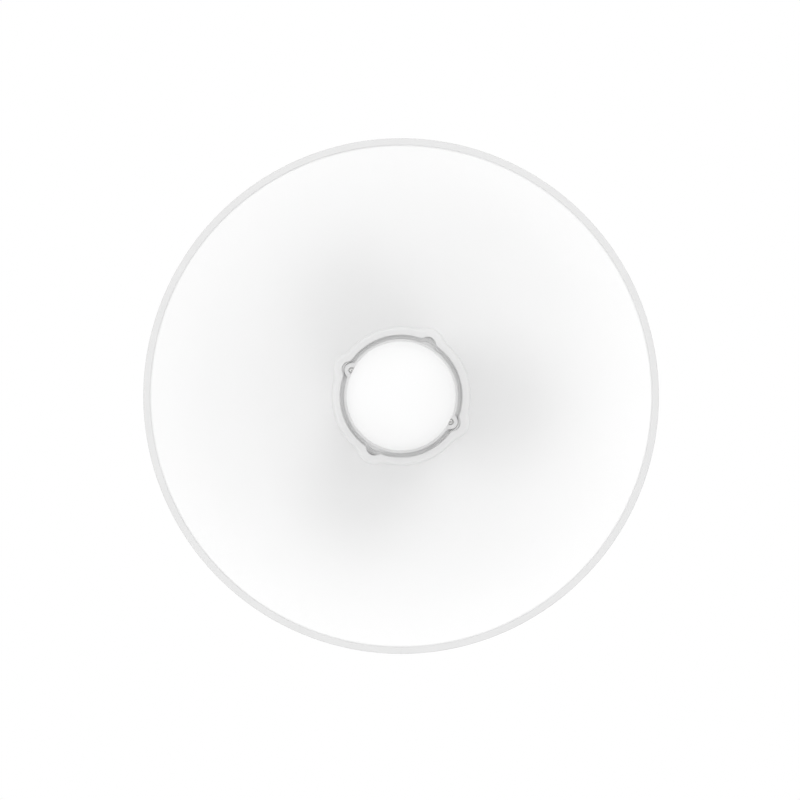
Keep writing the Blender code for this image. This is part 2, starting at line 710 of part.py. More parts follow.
def make_tilt_yoke(axis):
    """The folded steel yoke on the cover's back, which hangs between the bracket's ears."""
    web = bmesh.new()
    outline = rounded_box_outline(
        (-YOKE_OUTSIDE, -YOKE_HALF_HEIGHT), (YOKE_OUTSIDE, YOKE_HALF_HEIGHT), YOKE_CORNER
    )
    add_prism(web, outline, "Y", YOKE_WEB_FRONT_Y, YOKE_WEB_FRONT_Y + PLATE)
    yoke = piece("tilt_yoke", web, ZINC_STEEL)
    root = YOKE_WEB_FRONT_Y + PLATE / 2
    points = arc((PIVOT_Y, PIVOT_Z), YOKE_PIVOT_EYE, 0.0, 345.0, 23)
    points += arc(lock_place(0.0), SLOT_EYE, 0.0, 345.0, 23)
    points += [(root, YOKE_CORNER - YOKE_HALF_HEIGHT), (root, YOKE_HALF_HEIGHT - YOKE_CORNER)]
    ears = bmesh.new()
    add_prism(ears, hull_outline(points), "X", YOKE_INSIDE, YOKE_OUTSIDE)
    add_prism(ears, hull_outline(points), "X", -YOKE_OUTSIDE, -YOKE_INSIDE)
    holes = bmesh.new()
    for side in (-1, 1):
        near = side * (YOKE_INSIDE - 0.0050)
        far = side * (YOKE_OUTSIDE + 0.0050)
        for y, z in ((PIVOT_Y, PIVOT_Z), lock_place(0.0)):
            add_rod(holes, BOLT_HOLE, (near, y, z), (far, y, z))
    for x, z in yoke_screw_places():
        add_rod(holes, YOKE_SCREW_HOLE, (x, YOKE_WEB_FRONT_Y - 0.005, z), (x, YOKE_WEB_FRONT_Y + 0.008, z))
    combine(yoke, tool("yoke_ears", ears), "UNION")
    combine(yoke, tool("yoke_holes", holes), "DIFFERENCE")
    hang(yoke, axis)


def hang(made, axis):
    """Parents a piece that was drawn in world coordinates, and leaves it where it is."""
    made.parent = axis
    made.location = made.location - axis.location


def make_yoke_screws(axis):
    """Four screws that hold the yoke to the cover."""
    seat = YOKE_WEB_FRONT_Y + PLATE + GAP
    tip = PLATE + YOKE_SCREW_DEPTH - 0.0010
    profile = [
        (0.0, -YOKE_SCREW_HEAD_HEIGHT),
        (YOKE_SCREW_HEAD, -YOKE_SCREW_HEAD_HEIGHT),
        (YOKE_SCREW_HEAD, 0.0),
        (YOKE_SCREW_RADIUS, 0.0),
        (YOKE_SCREW_RADIUS, tip),
        (0.0, tip),
    ]
    for number, (x, z) in enumerate(yoke_screw_places(), 1):
        shape = turned(profile, BOLT_STEPS, hexes=(YOKE_SCREW_HEAD,))
        place = (x, seat - axis.location.y, z - axis.location.z)
        piece("yoke_screw_" + str(number), shape, STAINLESS, axis, place)


def bolt_profile():
    """A flange bolt from the top of its head to the tip of its shank, its seat at 0."""
    tip = BOLT_END_X - EAR_OUTSIDE - GAP
    return [
        (0.0, FLANGE_THICK + HEX_HEIGHT),
        (HEX_RADIUS, FLANGE_THICK + HEX_HEIGHT),
        (HEX_RADIUS, FLANGE_THICK),
        (FLANGE_NUT_RADIUS, FLANGE_THICK),
        (FLANGE_NUT_RADIUS, 0.0),
        (BOLT_RADIUS, 0.0),
        (BOLT_RADIUS, tip),
        (0.0, tip),
    ]


def nut_profile():
    """A flange nut on its seat at 0."""
    return [
        (BOLT_HOLE, 0.0),
        (FLANGE_NUT_RADIUS, 0.0),
        (FLANGE_NUT_RADIUS, FLANGE_THICK),
        (HEX_RADIUS, FLANGE_THICK),
        (HEX_RADIUS, NUT_HEIGHT),
        (BOLT_HOLE, NUT_HEIGHT),
    ]


def bush_profile():
    return [(BOLT_HOLE, 0.0), (BUSH_RADIUS, 0.0), (BUSH_RADIUS, BUSH_LENGTH), (BOLT_HOLE, BUSH_LENGTH)]


def make_cross_bolts(title, spot, axis):
    """A bolt, a nut and a spacing bush on each side, at one (y, z) place of the two brackets."""
    outward = {"left": -1, "right": 1}
    y, z = spot
    base = axis.location if axis else Vector((0.0, 0.0, 0.0))
    for side, sign in outward.items():
        # A forward distance of the turned shape runs outwards along X, or inwards for a nut
        out = (0.0, 0.0, math.radians(90.0) * sign)
        inwards = (0.0, 0.0, -math.radians(90.0) * sign)
        seat = (sign * (EAR_OUTSIDE + GAP), y - base.y, z - base.z)
        bolt = turned(bolt_profile(), BOLT_STEPS, hexes=(HEX_RADIUS,))
        piece(title + "_bolt_" + side, bolt, STAINLESS, axis, seat, out)
        seat = (sign * (YOKE_INSIDE - GAP), y - base.y, z - base.z)
        nut = turned(nut_profile(), BOLT_STEPS, hexes=(HEX_RADIUS,))
        piece(title + "_nut_" + side, nut, STAINLESS, axis, seat, inwards)
        seat = (sign * (YOKE_OUTSIDE + GAP), y - base.y, z - base.z)
        bush = turned(bush_profile(), 20)
        piece(title + "_bush_" + side, bush, NYLON_BLACK, axis, seat, out)


def saddle_outline():
    """Half a V that a round pole settles in, with a flat wing for the U-bolt."""
    crest_y = SADDLE_APEX_Y + SADDLE_CREST_X / math.tan(math.radians(SADDLE_SLOPE))
    foot = WEB_BACK_Y + GAP
    right = [
        (SADDLE_HALF_WIDTH, foot),
        (SADDLE_HALF_WIDTH, SADDLE_FOOT),
        (SADDLE_CREST_OUTER_X, SADDLE_FOOT),
        (SADDLE_CREST_OUTER_X, crest_y),
        (SADDLE_CREST_X, crest_y),
    ]
    left = [(-x, y) for x, y in reversed(right)]
    return right + [(0.0, SADDLE_APEX_Y)] + left


def make_clamps():
    """Two saddles and two U-bolts that grip the pole, with a flange nut on each leg."""
    for title, z in (("upper", CLAMP_Z), ("lower", -CLAMP_Z)):
        shape = bmesh.new()
        add_prism(shape, saddle_outline(), "Z", z - SADDLE_HALF_HEIGHT, z + SADDLE_HALF_HEIGHT)
        saddle = piece(title + "_saddle", shape, CAST_GREY)
        holes = bmesh.new()
        for side, sign in (("left", -1), ("right", 1)):
            x = sign * U_BOLT_HALF_WIDTH
            add_rod(holes, BOLT_HOLE, (x, -0.010, z), (x, 0.010, z))
            nut = turned(nut_profile(), BOLT_STEPS, hexes=(HEX_RADIUS,))
            place = (x, WEB_FRONT_Y - GAP, z)
            piece(title + "_clamp_nut_" + side, nut, STAINLESS, None, place)
        combine(saddle, tool(title + "_saddle_holes", holes), "DIFFERENCE")
        make_u_bolt(title + "_u_bolt", z)


def make_u_bolt(name, z):
    """A round bar bent to a U round the back of the pole."""
    bend = arc((0.0, POLE_CENTRE_Y), U_BOLT_HALF_WIDTH, 0.0, 180.0, U_BOLT_BEND_STEPS)
    route = [(U_BOLT_HALF_WIDTH, U_BOLT_TIP_Y)] + bend + [(-U_BOLT_HALF_WIDTH, U_BOLT_TIP_Y)]
    line = bpy.data.curves.new(name, "CURVE")
    line.dimensions = "3D"
    line.bevel_depth = BOLT_RADIUS
    line.bevel_resolution = 3
    line.use_fill_caps = True
    spline = line.splines.new("POLY")
    spline.points.add(len(route) - 1)
    for point, (x, y) in zip(spline.points, route):
        point.co = (x, y, z, 1.0)
    line.materials.append(finish_of(STAINLESS))
    made = bpy.data.objects.new(name, line)
    bpy.context.scene.collection.objects.link(made)


def build():
    clear_scene()
    tilt_axis = empty_at("elevation_axis", (0.0, PIVOT_Y, PIVOT_Z))
    dish_axis = empty_at("dish_axis", (0.0, VERTEX_Y - PIVOT_Y, -PIVOT_Z), tilt_axis)
    lug_holes = lug_screw_holes(LUG_SCREW_SHANK + GAP, LUG_SCREW_TIP - GAP)
    holes = tool("lug_screw_holes", lug_holes, dish_axis)
    make_reflector(dish_axis)
    make_rim_ring(dish_axis)
    make_hub_collar(dish_axis)
    make_feed_flange(dish_axis, holes)
    make_lug_screws(dish_axis)
    make_feed_drum(dish_axis)
    make_feed_cap(dish_axis)
    make_hub_gasket(dish_axis, holes)
    make_rear_hub(dish_axis, holes)
    make_rear_housing(dish_axis)
    make_rear_cover(dish_axis)
    make_port_cover(dish_axis)
    make_cable_gland(dish_axis)
    make_vent_plug(dish_axis)
    make_ground_screw(dish_axis)
    make_tilt_yoke(tilt_axis)
    make_yoke_screws(tilt_axis)
    make_cross_bolts("lock", lock_place(0.0), tilt_axis)
    make_pole_bracket()
    make_cross_bolts("pivot", (PIVOT_Y, PIVOT_Z), None)
    make_clamps()


build()
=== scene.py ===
import math

import bmesh
import bpy
from mathutils import Matrix, Vector
from mathutils.geometry import convex_hull_2d


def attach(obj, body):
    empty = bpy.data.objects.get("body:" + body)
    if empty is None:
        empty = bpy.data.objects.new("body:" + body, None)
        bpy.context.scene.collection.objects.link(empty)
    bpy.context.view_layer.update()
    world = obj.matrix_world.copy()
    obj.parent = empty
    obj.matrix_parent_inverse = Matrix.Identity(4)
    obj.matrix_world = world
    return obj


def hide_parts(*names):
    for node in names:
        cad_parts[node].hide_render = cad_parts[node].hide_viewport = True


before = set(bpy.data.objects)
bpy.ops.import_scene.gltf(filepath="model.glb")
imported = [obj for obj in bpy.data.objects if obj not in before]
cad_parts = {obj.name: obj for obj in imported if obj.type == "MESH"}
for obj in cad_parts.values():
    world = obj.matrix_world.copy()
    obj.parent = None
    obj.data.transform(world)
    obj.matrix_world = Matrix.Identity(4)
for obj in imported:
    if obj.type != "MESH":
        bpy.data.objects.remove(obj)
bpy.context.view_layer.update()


# Pole bracket. The real one is 3 mm steel, cut flat by laser, folded at both sides, then dipped
# in zinc, so its surface shows faint crystals. Two U-bolts hold its web to the pole, and the
# curved slot in each ear, with a tilt scale stamped beside it, holds the dish at its angle.

PLATE = 0.0030
BEND_INSIDE = 0.0030
BEND_MIDDLE = BEND_INSIDE + PLATE / 2
BEND_LENGTH = BEND_MIDDLE * math.pi / 2
BEND_STEPS = 8
BRACKET_MIDDLE_Y = -0.0025
BRACKET_HALF_WIDTH = 0.0561
BRACKET_HALF_HEIGHT = 0.0680
BRACKET_CORNER = 0.0060
EAR_LOW = -0.0550
EAR_HIGH = 0.0400
RELIEF = 0.0022
PIVOT_Y = -0.0460
PIVOT_Z = -0.0320
PIVOT_EYE = 0.0180
LOCK_REACH = 0.0640
SLOT_EYE = 0.0125
SLOT_SWING = 20.6
SLOT_HALF_WIDTH = 0.0045
BOLT_HOLE = 0.0043
CLAMP_X = 0.0300
CLAMP_Z = 0.0450
SCALE_X = 0.0558
SCALE_INSIDE = 0.0705
SCALE_OUTSIDE = 0.0735
SCALE_STEP = 2.5
SCALE_END = 20.5
TICK_HALF_TURN = 0.22
WELD = 0.000002


def at_angle(centre, radius, angle):
    """The point at this distance, and at this angle in degrees, from a centre."""
    turn = math.radians(angle)
    return (centre[0] + radius * math.cos(turn), centre[1] + radius * math.sin(turn))


def arc(centre, radius, start, end, steps):
    """Points along an arc between two angles in degrees, both ends included."""
    return [at_angle(centre, radius, start + (end - start) * step / steps) for step in range(steps + 1)]


def ring(centre, radius, steps=32):
    return arc(centre, radius, 0.0, 360.0, steps)[:-1]


def pulled_tight(points, first):
    """The outline of a thread pulled tight round the points, anticlockwise from the first point."""
    order = [points[index] for index in convex_hull_2d([Vector(point) for point in points])]
    turning = sum(a[0] * b[1] - b[0] * a[1] for a, b in zip(order, order[1:] + order[:1]))
    if turning < 0:
        order.reverse()
    start = min(range(len(order)), key=lambda index: math.dist(order[index], first))
    return order[start:] + order[:start]


def cut_sheet(outline, holes, thickness):
    """A flat plate with holes, drawn across X and up Z. Its middle lies at Y 0."""
    shape = bmesh.new()
    for loop in [outline] + holes:
        corners = [shape.verts.new((across, -thickness / 2, up)) for across, up in loop]
        for first, second in zip(corners, corners[1:] + corners[:1]):
            shape.edges.new((first, second))
    bmesh.ops.triangle_fill(shape, edges=shape.edges[:], use_beauty=True, use_dissolve=False)
    thicken(shape, shape.faces[:], Vector((0.0, thickness, 0.0)))
    return shape


def thicken(shape, faces, run):
    """Pulls faces out along a straight line and leaves the first ones behind as the other side."""
    grown = bmesh.ops.extrude_face_region(shape, geom=faces, use_keep_orig=True)
    moved = [item for item in grown["geom"] if isinstance(item, bmesh.types.BMVert)]
    bmesh.ops.translate(shape, verts=moved, vec=run)
    return moved


def split(shape, place, normal):
    """Cuts new edges into a shape along a plane, and takes nothing away."""
    bmesh.ops.bisect_plane(
        shape, geom=shape.verts[:] + shape.edges[:] + shape.faces[:], dist=0.0000001,
        plane_co=place, plane_no=normal,
    )


def fold_ears(shape, flat, away):
    """Folds both sides of a plate up, beyond its flat middle. Away is +1 or -1 along Y."""
    for side in (-1, 1):
        for step in range(BEND_STEPS + 1):
            split(shape, (side * (flat + BEND_LENGTH * step / BEND_STEPS), 0.0, 0.0), (1.0, 0.0, 0.0))
    for vert in shape.verts:
        past = abs(vert.co.x) - flat
        if past > 0.0:
            side = math.copysign(1.0, vert.co.x)
            turn = min(past / BEND_MIDDLE, math.pi / 2)
            radius = BEND_MIDDLE - away * vert.co.y
            straight = max(past - BEND_LENGTH, 0.0)
            vert.co.x = side * (flat + radius * math.sin(turn))
            vert.co.y = away * (BEND_MIDDLE - radius * math.cos(turn) + straight)


def mirrored(points):
    return [(-across, up) for across, up in reversed(points)]


def placed(shape, place, turn=(0.0, 0.0, 0.0)):
    """Turns a shape round the origin by three angles in degrees, then moves it."""
    matrix = Matrix.Translation(place)
    for angle, axis in zip(reversed(turn), "ZYX"):
        matrix = matrix @ Matrix.Rotation(math.radians(angle), 4, axis)
    bmesh.ops.transform(shape, matrix=matrix, verts=shape.verts)
    return shape


class Shade:
    """A value, colour or direction inside a finish, which can be used in sums."""

    def __init__(self, tree, socket):
        self.tree = tree
        self.socket = socket

    def node(self, kind, settings, values, result=0):
        """Any node. Its settings come first, then its sockets take numbers or other shades."""
        made = self.tree.nodes.new(kind)
        for key, value in settings.items():
            setattr(made, key, value)
        for key, value in values.items():
            if isinstance(value, Shade):
                self.tree.links.new(value.socket, made.inputs[key])
            else:
                made.inputs[key].default_value = value
        if made.outputs:
            return Shade(self.tree, made.outputs[result])

    def maths(self, operation, first, second=0.0):
        return self.node("ShaderNodeMath", {"operation": operation}, {0: first, 1: second})

    def __add__(self, other):
        return self.maths("ADD", self, other)

    __radd__ = __add__

    def __sub__(self, other):
        return self.maths("SUBTRACT", self, other)

    def __rsub__(self, other):
        return self.maths("SUBTRACT", other, self)

    def __mul__(self, other):
        return self.maths("MULTIPLY", self, other)

    __rmul__ = __mul__

    def __gt__(self, other):
        return self.maths("GREATER_THAN", self, other)

    def __lt__(self, other):
        return self.maths("LESS_THAN", self, other)

    def parts(self):
        """The three numbers of a place or a colour."""
        first = self.node("ShaderNodeSeparateXYZ", {}, {0: self})
        return [Shade(self.tree, socket) for socket in first.socket.node.outputs]

    def noise(self, scale, detail=2.0, roughness=0.5):
        values = {"Vector": self, "Scale": scale, "Detail": detail, "Roughness": roughness}
        return self.node("ShaderNodeTexNoise", {}, values)

    def stretched(self, across, deep, up):
        """The same place measured in other units, so that a pattern runs one way."""
        return self.node("ShaderNodeVectorMath", {"operation": "MULTIPLY"}, {0: self, 1: (across, deep, up)})

    def between(self, low, high, first=0.0, last=1.0):
        """The value moved from one range to another and kept inside it."""
        values = {"Value": self, "From Min": low, "From Max": high, "To Min": first, "To Max": last}
        return self.node("ShaderNodeMapRange", {"clamp": True}, values)

    def colours(self, first, last):
        """The first colour at 0 and the last at 1."""
        values = {0: self, 6: (*first, 1.0), 7: (*last, 1.0)}
        return self.node("ShaderNodeMix", {"data_type": "RGBA"}, values, 2)

    def greys(self, first, last):
        return self.colours((first,) * 3, (last,) * 3)

    def relief(self, depth, strength):
        """Surface relief from a height of 0 to 1."""
        return self.node("ShaderNodeBump", {}, {"Height": self, "Distance": depth, "Strength": strength})


def new_finish(name, metallic=0.0, specular=0.5):
    finish = bpy.data.materials.new(name)
    finish.use_nodes = True
    tree = finish.node_tree
    shader = tree.nodes["Principled BSDF"]
    shader.inputs["Metallic"].default_value = metallic
    shader.inputs["Specular IOR Level"].default_value = specular
    return finish, Shade(tree, tree.nodes.new("ShaderNodeTexCoord").outputs["Object"])


def show(finish, **looks):
    """Joins colour, roughness and relief to the shader of a finish."""
    shader = finish.node_tree.nodes["Principled BSDF"]
    sockets = {"colour": "Base Color", "roughness": "Roughness", "relief": "Normal"}
    for look, shade in looks.items():
        finish.node_tree.links.new(shade.socket, shader.inputs[sockets[look]])


def finished(name, shape, finish, body, slot, *stands_for, edge=0.0, sharp=35.0):
    """A finished piece: welded, faces outwards, its edges eased, and riding on its body."""
    bmesh.ops.remove_doubles(shape, verts=shape.verts, dist=WELD)
    bmesh.ops.recalc_face_normals(shape, faces=shape.faces)
    mesh = bpy.data.meshes.new(name)
    shape.to_mesh(mesh)
    shape.free()
    mesh.shade_smooth()
    mesh.set_sharp_from_angle(angle=math.radians(sharp))
    mesh.materials.append(finish)
    piece = bpy.data.objects.new(name, mesh)
    bpy.context.scene.collection.objects.link(piece)
    if edge:
        eased = piece.modifiers.new("eased edges", "BEVEL")
        eased.width = edge
        eased.segments = 2
        eased.limit_method = "ANGLE"
        eased.angle_limit = math.radians(40.0)
        eased.use_clamp_overlap = False
    even = piece.modifiers.new("even shading", "WEIGHTED_NORMAL")
    even.keep_sharp = True
    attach(piece, body)
    if stands_for:
        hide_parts(*stands_for)
    return piece


zinc, spot = new_finish("hot dipped zinc", metallic=0.85)
crystal_values = {"Vector": spot, "Scale": 150.0, "Randomness": 1.0}
crystal = spot.node("ShaderNodeTexVoronoi", {"feature": "F1"}, crystal_values, "Color").parts()[0]
cloud = spot.noise(45.0, 4.0)
grain = spot.noise(1400.0, 3.0)
across, deep, up = spot.parts()
behind_pivot = deep - PIVOT_Y
above_pivot = up - PIVOT_Z
from_pivot = spot.maths("SQRT", behind_pivot * behind_pivot + above_pivot * above_pivot)
tilt = spot.maths("ARCTAN2", behind_pivot, above_pivot) * (180.0 / math.pi)
from_tick = spot.maths("PINGPONG", tilt, SCALE_STEP)
tick = (from_tick < TICK_HALF_TURN) * (from_pivot > SCALE_INSIDE) * (from_pivot < SCALE_OUTSIDE)
tick = tick * (spot.maths("ABSOLUTE", across) > SCALE_X) * (spot.maths("ABSOLUTE", tilt) < SCALE_END)
tone = (crystal * 0.45 + cloud * 0.55) * (1.0 - tick * 0.75)
show(
    zinc,
    colour=tone.colours((0.40, 0.41, 0.42), (0.66, 0.67, 0.68)),
    roughness=(crystal * 0.14 + cloud * 0.12 + 0.28),
    relief=(crystal * 0.25 + grain * 0.35 + cloud * 0.4 - tick * 3.0).relief(0.00008, 0.8),
)

bracket_flat = BRACKET_HALF_WIDTH - PLATE - BEND_INSIDE


def unrolled(flat, distance):
    """Where a point of an ear lies in the flat plate, from its distance to the web's middle."""
    return flat + BEND_LENGTH + distance - BEND_MIDDLE


pivot_flat = (unrolled(bracket_flat, BRACKET_MIDDLE_Y - PIVOT_Y), PIVOT_Z)
slot_low = 90.0 - SLOT_SWING
slot_high = 90.0 + SLOT_SWING
slot_ends = [at_angle(pivot_flat, LOCK_REACH, end) for end in (slot_low, slot_high)]
foot = bracket_flat - 0.0010
ear = ring(pivot_flat, PIVOT_EYE) + ring(slot_ends[0], SLOT_EYE) + ring(slot_ends[1], SLOT_EYE)
ear += arc(pivot_flat, LOCK_REACH + SLOT_EYE, slot_low, slot_high, 16) + [(foot, EAR_LOW), (foot, EAR_HIGH)]
corner = BRACKET_CORNER
corner_x = BRACKET_HALF_WIDTH - corner
corner_z = BRACKET_HALF_HEIGHT - corner
right_side = arc((corner_x, -corner_z), corner, -90.0, 0.0, 6)
right_side += [(BRACKET_HALF_WIDTH, EAR_LOW - RELIEF), (foot, EAR_LOW - RELIEF)]
right_side += pulled_tight(ear, (foot, EAR_LOW))
right_side += [(foot, EAR_HIGH + RELIEF), (BRACKET_HALF_WIDTH, EAR_HIGH + RELIEF)]
right_side += arc((corner_x, corner_z), corner, 0.0, 90.0, 6)
slot = arc(pivot_flat, LOCK_REACH + SLOT_HALF_WIDTH, slot_low, slot_high, 24)
slot += arc(slot_ends[1], SLOT_HALF_WIDTH, slot_high, slot_high + 180.0, 10)[1:-1]
slot += arc(pivot_flat, LOCK_REACH - SLOT_HALF_WIDTH, slot_high, slot_low, 24)
slot += arc(slot_ends[0], SLOT_HALF_WIDTH, slot_low + 180.0, slot_low + 360.0, 10)[1:-1]
pivot_hole = ring(pivot_flat, BOLT_HOLE)
bracket_holes = [slot, pivot_hole, mirrored(slot), mirrored(pivot_hole)]
bracket_holes += [ring((x, z), BOLT_HOLE) for x in (-CLAMP_X, CLAMP_X) for z in (-CLAMP_Z, CLAMP_Z)]
bracket = cut_sheet(right_side + mirrored(right_side), bracket_holes, PLATE)
fold_ears(bracket, bracket_flat, -1)
placed(bracket, (0.0, BRACKET_MIDDLE_Y, 0.0))
finished("folded_pole_bracket", bracket, zinc, "mast_bracket", "zinc_steel", "pole_bracket", edge=0.00035)


# Pad of the pole bracket. The real one is a raised flat pressed into the web between the two
# clamps. It bears on the pole or on a wall plate, and its edges are round from the press.

PAD_HALF_WIDTH = 0.0200
PAD_HALF_HEIGHT = 0.0180
PAD_CORNER = 0.0040
PAD_EDGE = 0.0007


def rounded_box(centre, half_width, half_height, corner):
    """The outline of a box with round corners, anticlockwise."""
    outline = []
    for sign_x, sign_y, start in ((1, 1, 0.0), (-1, 1, 90.0), (-1, -1, 180.0), (1, -1, 270.0)):
        middle = (centre[0] + sign_x * (half_width - corner), centre[1] + sign_y * (half_height - corner))
        outline += arc(middle, corner, start, start + 90.0, 6)
    return outline


def round_off(shape, geometry, radius, steps, affect="EDGES"):
    """Rounds some edges of a shape, or some corners of a profile."""
    bmesh.ops.bevel(
        shape, geom=geometry, offset=radius, offset_type="OFFSET", segments=steps, profile=0.5,
        affect=affect, material=-1,
    )


pad = cut_sheet(rounded_box((0.0, 0.0), PAD_HALF_WIDTH, PAD_HALF_HEIGHT, PAD_CORNER), [], PLATE / 2)
placed(pad, (0.0, -PLATE / 4, 0.0))
pad_rim = [
    edge for edge in pad.edges
    if all(vert.co.y > -0.0001 for vert in edge.verts) and edge.calc_face_angle(0.0) > 1.0
]
round_off(pad, pad_rim, PAD_EDGE, 3)
finished("pressed_bracket_pad", pad, zinc, "mast_bracket", "zinc_steel")


# Pole clamps. Each real one is an M8 stainless bar bent to a U round the pole, its ends threaded,
# with a cast alloy saddle whose toothed V bites the pole, and a flange nut on each leg.

POLE_CENTRE_Y = 0.0355
BOLT_RADIUS = 0.0040
TIP_RADIUS = 0.0033
U_BOLT_TIP = -0.0200
CLAMP_NUT_Y = -0.0043
THREAD_END = 0.0120
THREAD_PITCH = 0.00125
THREAD_DEPTH = 0.00055
U_BEND_STEPS = 48


def turned(profile, steps):
    """Spins a profile of (radius, forward) points round the Y axis. Forward is along -Y.

    A third number rounds that corner before the spin. A profile that starts off the axis is
    closed into a ring.
    """
    shape = bmesh.new()
    points = [shape.verts.new((point[0], -point[1], 0.0)) for point in profile]
    for first, second in zip(points, points[1:]):
        shape.edges.new((first, second))
    if profile[0][0] > 0.0:
        shape.edges.new((points[-1], points[0]))
    for corner in sorted({point[2] for point in profile if len(point) > 2}):
        rounded = [vert for vert, point in zip(points, profile) if point[2:] == (corner,)]
        round_off(shape, rounded, corner, 4, "VERTICES")
    bmesh.ops.spin(
        shape, geom=shape.verts[:] + shape.edges[:], cent=(0.0, 0.0, 0.0), axis=(0.0, 1.0, 0.0),
        angle=math.tau, steps=steps, use_merge=True,
    )
    bmesh.ops.remove_doubles(shape, verts=shape.verts, dist=WELD)
    return shape


def reshaped(shape, rule):
    """Moves each point of a turned shape to the radius and forward distance that a rule gives."""
    for vert in shape.verts:
        radius = math.hypot(vert.co.x, vert.co.z)
        moved, forward = rule(radius, math.atan2(vert.co.z, vert.co.x), -vert.co.y)
        vert.co.y = -forward
        if radius > 0.0:
            vert.co.x *= moved / radius
            vert.co.z *= moved / radius
    return shape


def joined(shape, *others):
    """Adds other shapes to the first one."""
    for other in others:
        mesh = bpy.data.meshes.new("part")
        other.to_mesh(mesh)
        other.free()
        shape.from_mesh(mesh)
        bpy.data.meshes.remove(mesh)
    return shape


def thread(radius, start, end, pitch=THREAD_PITCH, depth=THREAD_DEPTH):
    """The ridges of a thread between two forward distances, as profile points."""
    step = math.copysign(pitch, end - start)
    points = []
    for turn in range(int(abs(end - start) / pitch)):
        for share, radial in ((0.12, radius), (0.5, radius - depth), (0.88, radius)):
            points.append((radial, start + step * (turn + share)))
    return points


def pulled_to_hex(shape, half_flat, low, high):
    """Cuts a turned shape to six flats between two forward distances."""
    def to_flats(radius, turn, forward):
        if low - WELD < forward < high + WELD:
            limit = half_flat / math.cos(math.radians(math.degrees(turn) % 60.0 - 30.0))
            radius = min(radius, limit)
        return radius, forward

    return reshaped(shape, to_flats)


HEX_HALF_FLAT = 0.0065
HEX_RADIUS = 0.0075
HEX_TOP_RADIUS = 0.0061
NUT_BORE = 0.0041
NUT_HEIGHT = 0.0065
NUT_FLANGE = 0.0085
NUT_FLANGE_EDGE = 0.0009
NUT_FLANGE_THICK = 0.0016
NUT_CHAMFER = 0.0007
CHAMFER_STEPS = 6


def chamfered_top(radius, top, chamfer, inner):
    """The cone that takes the corners off a hex, from its flats up to the top face."""
    shares = [step / CHAMFER_STEPS for step in range(CHAMFER_STEPS + 1)]
    return [(radius - (radius - inner) * share, top - chamfer * (1.0 - share)) for share in shares]


def flange_nut():
    """An M8 flange nut on its seat at 0."""
    shape = turned([
        (NUT_BORE, 0.0), (NUT_FLANGE, 0.0, 0.00025), (NUT_FLANGE, NUT_FLANGE_EDGE, 0.0003),
        (HEX_RADIUS, NUT_FLANGE_THICK),
        *chamfered_top(HEX_RADIUS, NUT_HEIGHT, NUT_CHAMFER, HEX_TOP_RADIUS),
        (NUT_BORE + 0.0005, NUT_HEIGHT), (NUT_BORE, NUT_HEIGHT - 0.0005),
    ], 72)
    return pulled_to_hex(shape, HEX_HALF_FLAT, NUT_FLANGE_THICK, NUT_HEIGHT)


def turned_fastener(name, shape, body):
    """A stainless fastener that stands for the node of its own name."""
    finished(name + "_turned", shape, stainless, body, "stainless", name, sharp=22.0)


stainless, spot = new_finish("turned stainless steel", metallic=1.0)
scratches = spot.stretched(1.0, 14.0, 1.0).noise(260.0, 3.0)
smudge = spot.noise(90.0, 2.0)
show(
    stainless,
    colour=(scratches * 0.6 + smudge * 0.4).colours((0.52, 0.52, 0.51), (0.74, 0.74, 0.73)),
    roughness=(scratches * 0.16 + smudge * 0.14 + 0.14),
    relief=scratches.relief(0.00002, 0.6),
)

cast, spot = new_finish("grey coated casting", metallic=0.25)
skin = spot.noise(900.0, 4.0, 0.65)
pits = spot.noise(260.0, 2.0).between(0.30, 0.42)
wash = spot.noise(35.0, 3.0)
show(
    cast,
    colour=(skin * 0.35 + wash * 0.65).colours((0.44, 0.45, 0.46), (0.62, 0.63, 0.64)),
    roughness=(skin * 0.22 + wash * 0.10 + 0.38),
    relief=(skin * 0.6 + pits * 0.4).relief(0.00016, 0.8),
)

leg_profile = [
    (0.0, -U_BOLT_TIP), (TIP_RADIUS, -U_BOLT_TIP),
    *[(radius, -y) for radius, y in thread(BOLT_RADIUS, U_BOLT_TIP + 0.0004, THREAD_END)],
    (BOLT_RADIUS, -THREAD_END - 0.0010), (BOLT_RADIUS, -POLE_CENTRE_Y),
]
for title, level in (("upper", CLAMP_Z), ("lower", -CLAMP_Z)):
    u_bolt = bmesh.new()
    for side in (-1, 1):
        joined(u_bolt, placed(turned(leg_profile, 24), (side * CLAMP_X, 0.0, level)))
    ends = [edge for edge in u_bolt.edges if edge.is_boundary and edge.verts[0].co.x > 0.0]
    end_points = list({vert for edge in ends for vert in edge.verts})
    bmesh.ops.spin(
        u_bolt, geom=end_points + ends, cent=(0.0, POLE_CENTRE_Y, level), axis=(0.0, 0.0, 1.0),
        angle=math.pi, steps=U_BEND_STEPS, use_merge=False,
    )
    finished(title + "_bent_u_bolt", u_bolt, stainless, "mast_bracket", "stainless", title + "_u_bolt")
    for side, sign in (("left", -1), ("right", 1)):
        nut = placed(flange_nut(), (sign * CLAMP_X, CLAMP_NUT_Y, level), (0.0, 17.0 * sign, 0.0))
        turned_fastener(title + "_clamp_nut_" + side, nut, "mast_bracket")

SADDLE_HALF_WIDTH = 0.0400
SADDLE_HALF_HEIGHT = 0.0110
SADDLE_FOOT_BACK = -0.0007
SADDLE_FOOT = 0.0040
SADDLE_FILLET = 0.0015
SADDLE_CREST_X = 0.0235
SADDLE_CREST_OUTER_X = 0.0252
SADDLE_APEX_Y = 0.0060
SADDLE_SLOPE = 60.0
SADDLE_BORE_LENGTH = 0.0300
TOOTH_START = 0.0225
TOOTH_PITCH = 0.0018
TOOTH_FLANK = 0.0004
TOOTH_CREST = 0.0012
TOOTH_DEPTH = 0.0007
TEETH = 9

